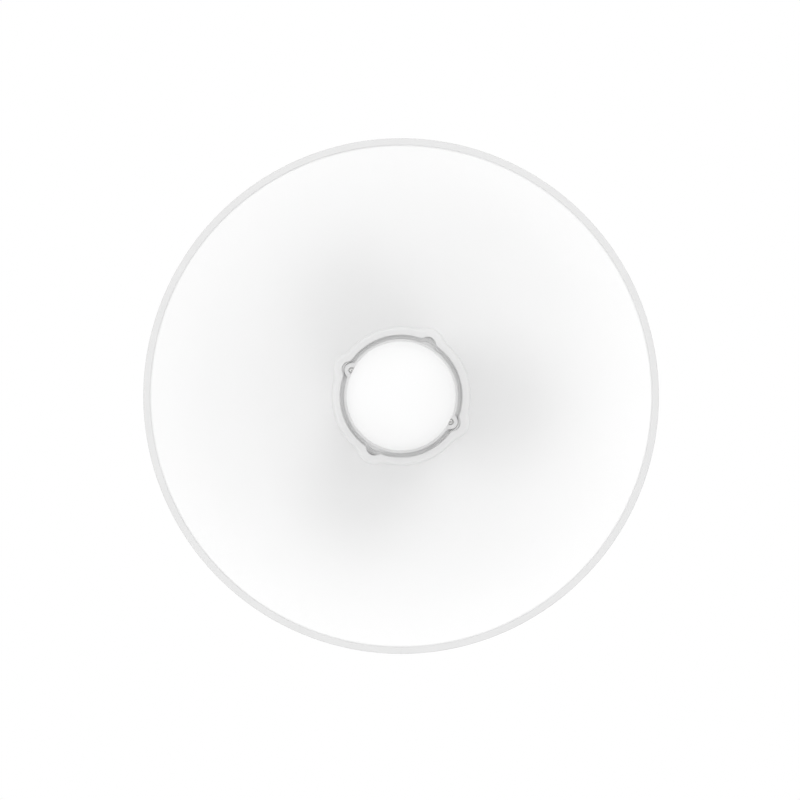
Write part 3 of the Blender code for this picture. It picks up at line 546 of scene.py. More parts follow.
saddle_crest_y = SADDLE_APEX_Y + SADDLE_CREST_X / math.tan(math.radians(SADDLE_SLOPE))
slope_x = math.sin(math.radians(SADDLE_SLOPE))
slope_y = math.cos(math.radians(SADDLE_SLOPE))
saddle_right = [
    (SADDLE_HALF_WIDTH, SADDLE_FOOT_BACK),
    (SADDLE_HALF_WIDTH, SADDLE_FOOT),
    (SADDLE_CREST_OUTER_X + SADDLE_FILLET, SADDLE_FOOT),
    (SADDLE_CREST_OUTER_X, SADDLE_FOOT + SADDLE_FILLET),
    (SADDLE_CREST_OUTER_X, saddle_crest_y),
    (SADDLE_CREST_X, saddle_crest_y),
]
for tooth in range(TEETH):
    along = TOOTH_START - TOOTH_PITCH * tooth
    for back, deep in ((0.0, 0.0), (TOOTH_FLANK, TOOTH_DEPTH), (TOOTH_CREST, TOOTH_DEPTH)):
        x = (along - back) * slope_x + deep * slope_y
        y = SADDLE_APEX_Y + (along - back) * slope_y - deep * slope_x
        saddle_right.append((x, y))
saddle_outline = saddle_right + [(0.0, SADDLE_APEX_Y)] + mirrored(saddle_right)


def add_rod(shape, radius, length, segments, place):
    """Adds a plain rod to a shape. It lies along Z until the matrix turns and moves it."""
    bmesh.ops.create_cone(
        shape, cap_ends=True, segments=segments, radius1=radius, radius2=radius, depth=length, matrix=place
    )


def slab(corners, run):
    """Pulls a flat outline along a straight line. Gives the solid and the points of its far side."""
    shape = bmesh.new()
    face = shape.faces.new([shape.verts.new(corner) for corner in corners])
    return shape, thicken(shape, [face], Vector(run))


def bored(piece, shape):
    """Cuts a shape out of a finished piece, and keeps only the result."""
    mesh = bpy.data.meshes.new("cutter")
    bmesh.ops.recalc_face_normals(shape, faces=shape.faces)
    shape.to_mesh(mesh)
    shape.free()
    cutter = bpy.data.objects.new("cutter", mesh)
    bpy.context.scene.collection.objects.link(cutter)
    cut = piece.modifiers.new("holes", "BOOLEAN")
    cut.operation = "DIFFERENCE"
    cut.solver = "EXACT"
    cut.use_self = True
    cut.object = cutter
    piece.modifiers.move(len(piece.modifiers) - 1, 0)
    for other in piece.modifiers:
        other.show_viewport = other == cut
    bpy.context.view_layer.update()
    drilled = bpy.data.meshes.new_from_object(piece.evaluated_get(bpy.context.evaluated_depsgraph_get()))
    piece.modifiers.remove(cut)
    for other in piece.modifiers:
        other.show_viewport = True
    piece.data = drilled
    bpy.data.objects.remove(cutter)
    drilled.shade_smooth()
    drilled.set_sharp_from_angle(angle=math.radians(35.0))


for title, level in (("upper", CLAMP_Z), ("lower", -CLAMP_Z)):
    corners = [(x, y, level - SADDLE_HALF_HEIGHT) for x, y in saddle_outline]
    saddle, _ = slab(corners, (0.0, 0.0, 2 * SADDLE_HALF_HEIGHT))
    piece = finished(
        title + "_toothed_saddle", saddle, cast, "mast_bracket", "cast_alloy", title + "_saddle", edge=0.0003
    )
    bores = bmesh.new()
    for side in (-1, 1):
        place = Matrix.Translation((side * CLAMP_X, 0.0, level)) @ Matrix.Rotation(math.pi / 2, 4, "X")
        add_rod(bores, BOLT_HOLE, SADDLE_BORE_LENGTH, 32, place)
    bored(piece, bores)


# Elevation pivot. On each side of the real bracket an M8 flange bolt passes through the ear and a
# black nylon bush into the yoke's ear, where a flange nut holds it. The bushes keep the two
# zinc coated ears apart, so that the dish can be tilted without scraping them.

YOKE_OUTSIDE = 0.0475
BOLT_HEAD = 0.0069
BOLT_TIP = -0.0219
BUSH_LENGTH = 0.0050
BUSH_RADIUS = 0.0095
BUSH_BORE = 0.0042
BUSH_GROOVE = 0.0006
SEAT_GAP = 0.0003

nylon, spot = new_finish("black moulded nylon")
grain = spot.noise(1500.0, 3.0, 0.6)
bloom = spot.noise(120.0, 2.0)
show(
    nylon,
    colour=(grain * 0.4 + bloom * 0.6).colours((0.020, 0.021, 0.022), (0.050, 0.051, 0.053)),
    roughness=(grain * 0.15 + bloom * 0.15 + 0.36),
    relief=grain.relief(0.00005, 0.7),
)


def flange_bolt():
    """An M8 flange bolt with its seat at 0, its head forwards and its thread behind."""
    shape = turned([
        (0.0, BOLT_HEAD - 0.0003), (0.0040, BOLT_HEAD - 0.0003), (0.0045, BOLT_HEAD),
        *chamfered_top(HEX_RADIUS, BOLT_HEAD, NUT_CHAMFER, HEX_TOP_RADIUS)[::-1],
        (HEX_RADIUS, NUT_FLANGE_THICK),
        (NUT_FLANGE, NUT_FLANGE_EDGE, 0.0003), (NUT_FLANGE, 0.0, 0.00025),
        (BOLT_RADIUS, 0.0), (BOLT_RADIUS, -0.0060),
        *thread(BOLT_RADIUS, -0.0065, BOLT_TIP + 0.0005),
        (TIP_RADIUS, BOLT_TIP), (0.0, BOLT_TIP),
    ], 72)
    return pulled_to_hex(shape, HEX_HALF_FLAT, NUT_FLANGE_THICK, BOLT_HEAD)


def spacing_bush():
    """A nylon ring with a groove round its middle."""
    half = BUSH_LENGTH / 2
    groove = BUSH_RADIUS - BUSH_GROOVE
    return turned([
        (BUSH_BORE, 0.0, 0.0002), (BUSH_RADIUS, 0.0, 0.0004), (BUSH_RADIUS, half - 0.0007),
        (groove, half - 0.0003), (groove, half + 0.0003), (BUSH_RADIUS, half + 0.0007),
        (BUSH_RADIUS, BUSH_LENGTH, 0.0004), (BUSH_BORE, BUSH_LENGTH, 0.0002),
    ], 48)


def cross_bolts(title, body, y, z):
    """The bolt, nut and bush on each side, at one place of the two brackets."""
    for side, sign, spin in (("left", -1, 11.0), ("right", 1, 38.0)):
        outward = (0.0, 0.0, 90.0 * sign)
        inward = (0.0, 0.0, -90.0 * sign)
        bolt = placed(flange_bolt(), (0.0, 0.0, 0.0), (0.0, spin, 0.0))
        placed(bolt, (sign * (BRACKET_HALF_WIDTH + SEAT_GAP), y, z), outward)
        turned_fastener(title + "_bolt_" + side, bolt, body)
        nut = placed(flange_nut(), (0.0, 0.0, 0.0), (0.0, spin + 20.0, 0.0))
        placed(nut, (sign * (YOKE_OUTSIDE - PLATE - SEAT_GAP), y, z), inward)
        turned_fastener(title + "_nut_" + side, nut, body)
        bush = placed(spacing_bush(), (sign * (YOKE_OUTSIDE + SEAT_GAP), y, z), outward)
        name = title + "_bush_" + side
        finished(name + "_turned", bush, nylon, body, "black_nylon", name)


cross_bolts("pivot", "mast_bracket", PIVOT_Y, PIVOT_Z)


# Tilt yoke. The real one is folded from the same zinc coated plate. Four hex screws hold its web
# to the back of the radio, and its ears hang between the bracket's ears on the pivot bolts. The
# two lock bolts ride in the bracket's slots and pinch the ears together once the dish is aimed.

YOKE_MIDDLE_Y = -0.1025
YOKE_HALF_HEIGHT = 0.0420
YOKE_CORNER = 0.0050
YOKE_PIVOT_EYE = 0.0130
YOKE_SCREW_X = 0.0300
YOKE_SCREW_Z = 0.0280
YOKE_SCREW_HOLE = 0.0029
YOKE_WINDOW = 0.0110
YOKE_SCREW_Y = -0.1007
SCREW_HEAD = 0.0036
SCREW_HEX = 0.0050
SCREW_HALF_FLAT = 0.00433
SCREW_SHANK = 0.0025
SCREW_TIP = -0.0110

yoke_flat = YOKE_OUTSIDE - PLATE - BEND_INSIDE
pivot_flat = (unrolled(yoke_flat, PIVOT_Y - YOKE_MIDDLE_Y), PIVOT_Z)
lock_flat = (pivot_flat[0], PIVOT_Z + LOCK_REACH)
foot = yoke_flat - 0.0010
low = YOKE_CORNER - YOKE_HALF_HEIGHT
ear = ring(pivot_flat, YOKE_PIVOT_EYE) + ring(lock_flat, SLOT_EYE) + [(foot, low), (foot, -low)]
corner_x = foot - YOKE_CORNER
right_side = arc((corner_x, low), YOKE_CORNER, -90.0, -20.0, 5)
right_side += pulled_tight(ear, (foot, low))
right_side += arc((corner_x, -low), YOKE_CORNER, 20.0, 90.0, 5)
holes = [ring(pivot_flat, BOLT_HOLE), ring(lock_flat, BOLT_HOLE)]
holes += [mirrored(hole) for hole in holes]
yoke_screw_places = [(x, z) for z in (-YOKE_SCREW_Z, YOKE_SCREW_Z) for x in (-YOKE_SCREW_X, YOKE_SCREW_X)]
holes += [ring(place, YOKE_SCREW_HOLE, 24) for place in yoke_screw_places]
holes += [ring((0.0, 0.0), YOKE_WINDOW)]
yoke = cut_sheet(right_side + mirrored(right_side), holes, PLATE)
fold_ears(yoke, yoke_flat, 1)
placed(yoke, (0.0, YOKE_MIDDLE_Y, 0.0))
finished("folded_tilt_yoke", yoke, zinc, "antenna", "zinc_steel", "tilt_yoke", edge=0.00035)

cross_bolts("lock", "antenna", PIVOT_Y, PIVOT_Z + LOCK_REACH)

for number, (x, z) in enumerate(yoke_screw_places, 1):
    screw = turned([
        (0.0, SCREW_HEAD - 0.0002), (0.0028, SCREW_HEAD - 0.0002), (0.0031, SCREW_HEAD),
        *chamfered_top(SCREW_HEX, SCREW_HEAD, 0.0005, 0.0041)[::-1],
        (SCREW_HEX, 0.0), (SCREW_SHANK, 0.0), *thread(SCREW_SHANK, -0.0004, -0.0108, 0.0008, 0.0004),
        (0.0020, SCREW_TIP), (0.0, SCREW_TIP),
    ], 48)
    pulled_to_hex(screw, SCREW_HALF_FLAT, 0.0, SCREW_HEAD)
    placed(screw, (x, YOKE_SCREW_Y, z), (0.0, 23.0 * number, 180.0))
    turned_fastener("yoke_screw_" + str(number), screw, "antenna")


# Rear cover. The real one is a die cast alloy lid with a ring of cooling ribs, coated grey. It
# closes the radio's back, carries the heat away and takes the yoke's four screws.

DISH_Y = -0.1660
COVER_RADIUS = 0.0475
COVER_ROOT = 0.0435
COVER_FRONT = -0.0443
COVER_PLATE_FRONT = -0.0582
COVER_BACK = -0.0617
COVER_SUNK_RADIUS = 0.0240
COVER_SUNK = 0.0007
COVER_FINS = 30
FIN_HALF_WIDTH = 0.0019
FIN_ROOT = 0.0010
FIN_EDGE = 0.0010


def on_dish(name, shape, finish, slot, *stands_for, sharp=35.0):
    """Finishes a piece that was drawn round the dish's axis. It moves with the antenna."""
    placed(shape, (0.0, DISH_Y, 0.0))
    return finished(name, shape, finish, "antenna", slot, *stands_for, sharp=sharp)


cover = turned([
    (0.0, COVER_FRONT), (COVER_ROOT, COVER_FRONT, 0.0004), (COVER_ROOT, COVER_PLATE_FRONT, 0.0010),
    (COVER_RADIUS, COVER_PLATE_FRONT, 0.0005), (COVER_RADIUS, COVER_BACK, 0.0008),
    (COVER_SUNK_RADIUS, COVER_BACK, 0.0003), (COVER_SUNK_RADIUS - 0.0008, COVER_BACK + COVER_SUNK, 0.0003),
    (0.0, COVER_BACK + COVER_SUNK),
], 120)
fin = bmesh.new()
fin_length = COVER_FRONT - COVER_PLATE_FRONT + FIN_ROOT
fin_centre = (COVER_ROOT - FIN_ROOT + COVER_RADIUS) / 2
fin_size = (COVER_RADIUS - COVER_ROOT + FIN_ROOT, fin_length, 2 * FIN_HALF_WIDTH)
bmesh.ops.create_cube(fin, size=1.0)
bmesh.ops.scale(fin, vec=fin_size, verts=fin.verts)
placed(fin, (fin_centre, -COVER_FRONT + fin_length / 2, 0.0))
round_off(fin, [edge for edge in fin.edges if all(vert.co.x > fin_centre for vert in edge.verts)], FIN_EDGE, 3)
bmesh.ops.spin(
    fin, geom=fin.verts[:] + fin.edges[:] + fin.faces[:], cent=(0.0, 0.0, 0.0), axis=(0.0, 1.0, 0.0),
    angle=math.tau * (COVER_FINS - 1) / COVER_FINS, steps=COVER_FINS - 1, use_duplicate=True,
)
on_dish("ribbed_rear_cover", joined(cover, fin), cast, "cast_alloy", "rear_cover")


# Radio housing. The real one is a white moulded shell, round on top and flat underneath, with a
# fine sparked texture. Six screws through its round flange pull it against the hub's casting,
# and a groove shows where its back half meets the front.

HOUSING_FLANGE_RADIUS = 0.0640
HOUSING_FLANGE_FRONT = -0.0103
HOUSING_FLANGE_BACK = -0.0143
HOUSING_RADIUS = 0.0560
HOUSING_BOTTOM = 0.0660
HOUSING_CORNER = 0.0100
HOUSING_BACK = -0.0440
SPIGOT_RADIUS = 0.0500
SPIGOT_FRONT = 0.0057
GROOVE_FORWARD = -0.0330
GROOVE_HALF_WIDTH = 0.0005
GROOVE_DEPTH = 0.0006
HOUSING_EDGE = 0.0032
STEP_BACK = -0.0153

housing_white, spot = new_finish("white moulded housing")
spark = spot.noise(1900.0, 3.0, 0.6)
flow = spot.noise(22.0, 3.0)
show(
    housing_white,
    colour=(spark * 0.3 + flow * 0.7).colours((0.668, 0.676, 0.676), (0.722, 0.728, 0.727)),
    roughness=(spark * 0.16 + flow * 0.08 + 0.38),
    relief=spark.relief(0.00006, 0.7),
)

corner_x = HOUSING_RADIUS - HOUSING_CORNER
corner_z = HOUSING_CORNER - HOUSING_BOTTOM
housing_outline = arc((0.0, 0.0), HOUSING_RADIUS, 0.0, 180.0, 60)
housing_outline += arc((-corner_x, corner_z), HOUSING_CORNER, 180.0, 270.0, 12)
housing_outline += arc((corner_x, corner_z), HOUSING_CORNER, 270.0, 360.0, 12)
housing, _ = slab(
    [(x, -HOUSING_FLANGE_BACK, z) for x, z in housing_outline],
    (0.0, HOUSING_FLANGE_BACK - HOUSING_BACK, 0.0),
)
back_rim = [edge for edge in housing.edges if all(vert.co.y > -HOUSING_BACK - 0.0001 for vert in edge.verts)]
round_off(housing, back_rim, HOUSING_EDGE, 6)
for edge_y in (-GROOVE_FORWARD - GROOVE_HALF_WIDTH, -GROOVE_FORWARD + GROOVE_HALF_WIDTH):
    split(housing, (0.0, edge_y, 0.0), (0.0, 1.0, 0.0))
housing.normal_update()
groove = [
    face for face in housing.faces
    if abs(face.calc_center_median().y + GROOVE_FORWARD) < GROOVE_HALF_WIDTH and abs(face.normal.y) < 0.1
]
bmesh.ops.inset_region(housing, faces=groove, thickness=0.0001, depth=-GROOVE_DEPTH, use_even_offset=True)
spigot = turned([
    (0.0, SPIGOT_FRONT), (SPIGOT_RADIUS, SPIGOT_FRONT, 0.0006), (SPIGOT_RADIUS, HOUSING_FLANGE_FRONT),
    (HOUSING_FLANGE_RADIUS, HOUSING_FLANGE_FRONT, 0.0005), (HOUSING_FLANGE_RADIUS, HOUSING_FLANGE_BACK, 0.0010),
    (SPIGOT_RADIUS, HOUSING_FLANGE_BACK), (SPIGOT_RADIUS, STEP_BACK), (0.0, STEP_BACK),
], 128)
on_dish("moulded_rear_housing", joined(housing, spigot), housing_white, "housing_plastic", "rear_housing")

FLANGE_SCREW_RING = 0.0601
FLANGE_SCREW_ANGLES = (22.5, 67.5, 112.5, 157.5, 202.5, 337.5)
FLANGE_SCREW_HEAD = 0.0026
FLANGE_SCREW_HEIGHT = 0.0018


def recessed_screw(name, seat, head, height, spin, flip, *stands_for):
    """A small pan head, turned, with the tapered cross that a driver fits cut out of its top."""
    screw = turned([
        (0.0, height), (head * 0.62, height * 0.94), (head * 0.88, height * 0.72),
        (head, height * 0.40), (head, 0.0), (0.0, 0.0),
    ], 48)
    placed(screw, seat, (0.0, 0.0, flip))
    piece = finished(name, screw, stainless, "antenna", "stainless", *stands_for)
    recess = bmesh.new()
    for turn in (0.0, math.pi / 2):
        bar = bmesh.ops.create_cube(recess, size=1.0)["verts"]
        bmesh.ops.scale(recess, vec=(head * 1.15, height * 1.2, head * 0.24), verts=bar)
        bmesh.ops.rotate(recess, verts=bar, cent=(0.0, 0.0, 0.0), matrix=Matrix.Rotation(turn, 3, "Y"))
    placed(recess, (0.0, -height * 1.05, 0.0))
    bored(piece, placed(recess, seat, (0.0, spin, flip)))


for number, angle in enumerate(FLANGE_SCREW_ANGLES, 1):
    x, z = at_angle((0.0, 0.0), FLANGE_SCREW_RING, angle)
    seat = (x, DISH_Y - HOUSING_FLANGE_BACK + 0.0001, z)
    name = "flange_screw_" + str(number)
    recessed_screw(name, seat, FLANGE_SCREW_HEAD, FLANGE_SCREW_HEIGHT, 31.0 * number, 180.0)


# Underside of the radio. The real one has a clip-on cover over its socket, ribbed for the thumb, a
# black nylon gland with a fluted dome nut for the cable, and a breather plug. The earthing screw
# sits on the right flat with its washer.

UNDERSIDE_Y = -0.1368
UNDERSIDE_Z = -0.0663
PORT_X = -0.0200
PORT_HALF_WIDTH = 0.0160
PORT_HALF_DEPTH = 0.0110
PORT_HEIGHT = 0.0090
PORT_CORNER = 0.0030
PORT_EDGE = 0.0018
PORT_RIBS = 6
PORT_RIB_RADIUS = 0.0006
PORT_RIB_LENGTH = 0.0140
PORT_RIB_PITCH = 0.0010
GLAND_X = 0.0140
GLAND_HEX = 0.0110
GLAND_HEX_HEIGHT = 0.0070
GLAND_NUT = 0.0095
GLAND_LENGTH = 0.0240
GLAND_BORE = 0.0035
GLAND_FLUTES = 18
SEAL_SEAT = 0.0045
VENT_X = 0.0340
VENT_RADIUS = 0.0055
VENT_HEIGHT = 0.0042
VENT_FLUTES = 20
EARTH_Z = -0.0420
EARTH_HEX = 0.0042
EARTH_TOP = 0.0048
WASHER_TOP = 0.0009
WASHER_RADIUS = 0.0060
SPRING_WASHER_TOP = 0.0018
SPRING_WASHER_RADIUS = 0.0040
SPRING_WASHER_BORE = 0.0024

port_outline = rounded_box((PORT_X, UNDERSIDE_Y), PORT_HALF_WIDTH, PORT_HALF_DEPTH, PORT_CORNER)
port, lowered = slab([(x, y, UNDERSIDE_Z) for x, y in port_outline], (0.0, 0.0, -PORT_HEIGHT))
round_off(port, [edge for edge in port.edges if all(vert in lowered for vert in edge.verts)], PORT_EDGE, 5)
rib_y = UNDERSIDE_Y + PORT_HALF_DEPTH - 0.0003
for rib in range(PORT_RIBS):
    place = Matrix.Translation((PORT_X, rib_y, UNDERSIDE_Z - 0.0018 - PORT_RIB_PITCH * rib))
    place = place @ Matrix.Rotation(math.pi / 2, 4, "Y")
    add_rod(port, PORT_RIB_RADIUS, PORT_RIB_LENGTH, 16, place)
finished("ribbed_port_cover", port, housing_white, "antenna", "housing_plastic", "port_cover")


def underneath(name, shape, x, *stands_for):
    """Finishes a black turned piece that stands out of the flat underside."""
    placed(shape, (x, UNDERSIDE_Y, UNDERSIDE_Z), (90.0, 0.0, 0.0))
    finished(name, shape, nylon, "antenna", "black_nylon", *stands_for)


def fluted(shape, count, depth, power, outside, start=-1.0):
    """Cuts a wave of flutes round a turned shape, outside a radius and past a forward distance."""
    def to_wave(radius, turn, forward):
        if radius > outside and forward > start:
            radius -= depth * (0.5 - 0.5 * math.cos(count * turn)) ** power
        return radius, forward

    return reshaped(shape, to_wave)


gland = turned([
    (0.0, 0.0), (GLAND_HEX, 0.0), (GLAND_HEX, 0.0056), (GLAND_HEX - 0.0004, 0.0061),
    (GLAND_HEX - 0.0009, 0.0066), (GLAND_HEX - 0.0016, GLAND_HEX_HEIGHT),
    (GLAND_NUT - 0.0012, GLAND_HEX_HEIGHT, 0.0003), (GLAND_NUT - 0.0012, 0.0078, 0.0003),
    (GLAND_NUT, 0.0084, 0.0006), (GLAND_NUT, 0.0120), (GLAND_NUT, 0.0155),
    (GLAND_NUT, GLAND_LENGTH - 0.0050, 0.0012), (GLAND_NUT - 0.0026, GLAND_LENGTH - 0.0006, 0.0008),
    (SEAL_SEAT + 0.0002, GLAND_LENGTH, 0.0003), (SEAL_SEAT, GLAND_LENGTH - 0.0020),
    (SEAL_SEAT, 0.0090), (0.0, 0.0090),
], 216)
pulled_to_hex(gland, GLAND_HEX * math.cos(math.pi / 6), 0.0, GLAND_HEX_HEIGHT)
fluted(gland, GLAND_FLUTES, depth=0.0006, power=2, outside=GLAND_NUT - 0.0022, start=0.0083)
underneath("fluted_cable_gland", gland, GLAND_X, "cable_gland")

gland_seal = turned([
    (GLAND_BORE, 0.0100, 0.0004), (SEAL_SEAT + 0.0001, 0.0100),
    (SEAL_SEAT + 0.0001, GLAND_LENGTH - 0.0014, 0.0003), (GLAND_BORE, GLAND_LENGTH - 0.0014, 0.0006),
], 48)
underneath("gland_seal", gland_seal, GLAND_X)

vent = turned([
    (0.0, 0.0), (VENT_RADIUS, 0.0), (VENT_RADIUS, 0.0030, 0.0004),
    (VENT_RADIUS - 0.0012, VENT_HEIGHT, 0.0004), (0.0020, VENT_HEIGHT, 0.0002),
    (0.0018, VENT_HEIGHT - 0.0006, 0.0002), (0.0, VENT_HEIGHT - 0.0006),
], 120)
fluted(vent, VENT_FLUTES, depth=0.0003, power=1, outside=VENT_RADIUS - 0.0006)
underneath("fluted_vent_plug", vent, VENT_X, "vent_plug")

earth = turned([
    (0.0, 0.0), (WASHER_RADIUS, 0.0, 0.0002), (WASHER_RADIUS, WASHER_TOP, 0.0002), (0.0, WASHER_TOP),
], 48)
spring_washer = turned([
    (SPRING_WASHER_BORE, WASHER_TOP), (SPRING_WASHER_RADIUS, WASHER_TOP, 0.0002),
    (SPRING_WASHER_RADIUS, SPRING_WASHER_TOP, 0.0002), (SPRING_WASHER_BORE, SPRING_WASHER_TOP),
], 48)
earth_head = turned([
    (0.0, EARTH_TOP - 0.0002), (0.0022, EARTH_TOP - 0.0002), (0.0024, EARTH_TOP),
    *chamfered_top(EARTH_HEX, EARTH_TOP, 0.0005, 0.0034)[::-1],
    (EARTH_HEX, SPRING_WASHER_TOP), (0.0, SPRING_WASHER_TOP),
], 48)
pulled_to_hex(earth_head, EARTH_HEX * math.cos(math.pi / 6), SPRING_WASHER_TOP, EARTH_TOP)
joined(earth, spring_washer, earth_head)
placed(earth, (HOUSING_RADIUS + SEAT_GAP, UNDERSIDE_Y, EARTH_Z), (0.0, 0.0, 90.0))
finished("earthing_screw_and_washers", earth, stainless, "antenna", "stainless", "ground_screw", sharp=22.0)


# Rear hub. The real one is a cast cone, coated grey, with a machined face that bears on the back
# of the dish and a recess for the seal. The radio's spigot passes through its bore.

FOCAL_LENGTH = 0.1440
SHEET = 0.0016
HUB_RADIUS = 0.0780
HUB_EDGE = 0.0040
HUB_FOOT = 0.0745
HUB_NECK = 0.0655
HUB_BACK = -0.0100
HUB_BORE = 0.0503
RECESS_FLOOR = 0.0002
RECESS_RADIUS = 0.0650
HOLE_RADIUS = 0.0581
NOTCH_RADIUS = 0.0078
NOTCH_RING = 0.0546
NOTCH_FILLET = 0.0022
NOTCH_ANGLES = (62.5, 152.5, 242.5, 332.5)


def dish_forward(radius):
    """How far the front of the sheet is in front of the dish's lowest point."""
    return radius * radius / (4 * FOCAL_LENGTH)


def dish_slope(radius):
    return radius / (2 * FOCAL_LENGTH)


def behind_sheet(radius):
    """A point on the face that bears on the back of the sheet, as a profile point."""
    return (radius, dish_forward(radius) - SHEET * math.hypot(1.0, dish_slope(radius)) - SEAT_GAP)


def spread(start, end, count):
    return [start + (end - start) * step / (count - 1) for step in range(count)]


def off_nearest(turn, angles):
    """How many degrees this angle is off the nearest of some others."""
    return min(abs((math.degrees(turn) - angle + 180.0) % 360.0 - 180.0) for angle in angles)


def eared(turn, disc, ears, ear_radius, angles, fillet):
    """The radius at this angle of a disc with round ears on a ring, and fillets beside them."""
    off = math.radians(min(off_nearest(turn, angles), 90.0))
    reach = ear_radius ** 2 - (ears * math.sin(off)) ** 2
    outer = ears * math.cos(off) + math.sqrt(reach) if reach > 0.0 else disc - fillet
    blend = max(fillet - abs(outer - disc), 0.0) / fillet
    return max(outer, disc) + blend * blend * fillet / 4


def hub_hole(turn, clear):
    """The radius of the notched opening at this angle, with some clearance."""
    return eared(turn, HOLE_RADIUS + clear, NOTCH_RING, NOTCH_RADIUS + clear, NOTCH_ANGLES, NOTCH_FILLET)


hub = turned([
    behind_sheet(HUB_BORE), (HUB_BORE, RECESS_FLOOR), (0.0560, RECESS_FLOOR),
    (RECESS_RADIUS, RECESS_FLOOR), behind_sheet(RECESS_RADIUS + 0.0015),
    *[behind_sheet(radius) for radius in spread(0.0680, HUB_RADIUS - 0.0008, 5)],
    (*behind_sheet(HUB_RADIUS), 0.0003), (HUB_RADIUS, HUB_EDGE, 0.0010), (HUB_FOOT, RECESS_FLOOR),
    (HUB_NECK, HUB_BACK, 0.0008), (HUB_BORE, HUB_BACK),
], 144)
on_dish("cast_rear_hub", hub, cast, "cast_alloy", "rear_hub")


# Reflector. The real one is a dish pressed from 1.6 mm aluminium sheet with a narrow flange turned
# out at its rim, coated white. The powder coat leaves a very fine orange peel, and it is a touch
# thinner over the bend at the rim.

DISH_STEPS = 288
RIM_INNER = 0.2326
FLANGE_RADIUS = 0.2380
SHEET_HOLE = 0.0590
SHEET_BLEND = 0.0760
SHEET_CLEAR = 0.0009
SHEET_STEPS = 36

dish_white, spot = new_finish("white powder coat", specular=0.4)
peel = spot.noise(520.0, 2.0, 0.5)
fine = spot.noise(1700.0, 2.0, 0.5)
drift = spot.noise(9.0, 3.0)
show(
    dish_white,
    colour=(drift * 0.7 + fine * 0.3).greys(0.728, 0.752),
    roughness=(peel * 0.10 + drift * 0.08 + 0.44),
    relief=(peel * 0.8 + fine * 0.2).relief(0.00003, 0.8),
)

radii = spread(SHEET_HOLE, RIM_INNER, SHEET_STEPS)
rim = dish_forward(RIM_INNER)
back = []
for radius in radii:
    length = math.hypot(1.0, dish_slope(radius))
    back.append((radius + SHEET * dish_slope(radius) / length, dish_forward(radius) - SHEET / length))
back_x, flange_back = back.pop()
reflector = turned([
    *[(radius, dish_forward(radius)) for radius in radii[:-1]],
    (RIM_INNER, rim, 0.0008), (FLANGE_RADIUS, rim, 0.0003), (FLANGE_RADIUS, flange_back, 0.0003),
    (back_x, flange_back, 0.0008), *reversed(back),
], DISH_STEPS)


def to_hole(radius, turn, forward):
    """Draws the sheet's inner edge to the notched hole, along the curve of the dish."""
    if radius >= SHEET_BLEND:
        return radius, forward
    share = (SHEET_BLEND - radius) / (SHEET_BLEND - SHEET_HOLE)
    moved = SHEET_BLEND - share * (SHEET_BLEND - hub_hole(turn, SHEET_CLEAR))
    return moved, forward + dish_forward(moved) - dish_forward(radius)


on_dish("pressed_reflector", reshaped(reflector, to_hole), dish_white, "dish_coat", "reflector")


# Rim edging. The real one is a light grey plastic channel, extruded straight, bent round the rim
# and pushed over the dish's flange. Its two ends butt together at the bottom.

RIM_RADIUS = 0.2400
EDGING_FRONT = 0.0018
EDGING_BACK = 0.0030
EDGING_LIP = 0.2350
FRONT_LIP = 0.2337
RIM_CLEAR = 0.0003
GRAIN_SCALE = 1400.0
SEAM_HALF_WIDTH = 0.00022

edging_grey, spot = new_finish("light grey edging")
across, deep, up = spot.parts()
from_axis = spot.maths("SQRT", across * across + up * up)
grain_values = {0: from_axis * GRAIN_SCALE, 1: deep * GRAIN_SCALE, 2: 0.0}
drawn = spot.node("ShaderNodeCombineXYZ", {}, grain_values).noise(1.0, 2.0)
patch = spot.noise(30.0, 3.0)
seam = (spot.maths("ABSOLUTE", across) < SEAM_HALF_WIDTH) * (up < 0.0)
tone = (drawn * 0.35 + patch * 0.65) * (1.0 - seam * 0.9)
show(
    edging_grey,
    colour=tone.greys(0.561, 0.611),
    roughness=(drawn * 0.14 + patch * 0.10 + 0.38),
    relief=(drawn * 0.4 + patch * 0.2 - seam * 2.0).relief(0.00006, 0.7),
)

edging_front = rim + RIM_CLEAR + EDGING_FRONT
edging_back = flange_back - RIM_CLEAR - EDGING_BACK
edging = turned([
    (FRONT_LIP, rim + 0.00005, 0.0002), (FRONT_LIP, edging_front, 0.0007), (RIM_RADIUS, edging_front, 0.0009),
    (RIM_RADIUS, edging_back, 0.0007), (EDGING_LIP, edging_back, 0.0007),
    (EDGING_LIP, flange_back - RIM_CLEAR, 0.0003), (FLANGE_RADIUS + RIM_CLEAR, flange_back - RIM_CLEAR),
    (FLANGE_RADIUS + RIM_CLEAR, rim + RIM_CLEAR),
], DISH_STEPS)
on_dish("extruded_rim_edging", edging, edging_grey, "rim_edging", "rim_ring")


# Hub collar. The real one is a white moulded ring that trims the opening in the dish. It follows
# the notched hole on the inside, swells to a soft lobe round each notch on the outside, and its
# foot follows the curve of the dish.

COLLAR_RADIUS = 0.0654
COLLAR_TOP = 0.0108
COLLAR_LIFT = 0.0001
LOBE_HEIGHT = 0.0050
LOBE_HALF_ANGLE = 15.5
SECTION_BASE = 0.0500
SECTION_WIDTH = 0.0100

feed_white, spot = new_finish("white moulded feed parts", specular=0.4)
grain = spot.noise(1600.0, 2.0, 0.55)
melt = spot.noise(14.0, 3.0)
show(
    feed_white,
    colour=(grain * 0.3 + melt * 0.7).greys(0.700, 0.723),
    roughness=(grain * 0.12 + melt * 0.08 + 0.42),
    relief=grain.relief(0.00003, 0.7),
)


def collar_edge(turn):
    """The collar's outer radius at this angle, with a raised lobe at each notch."""
    off = min(off_nearest(turn, NOTCH_ANGLES) / LOBE_HALF_ANGLE, 1.0)
    return COLLAR_RADIUS + LOBE_HEIGHT * (0.5 + 0.5 * math.cos(math.pi * off))


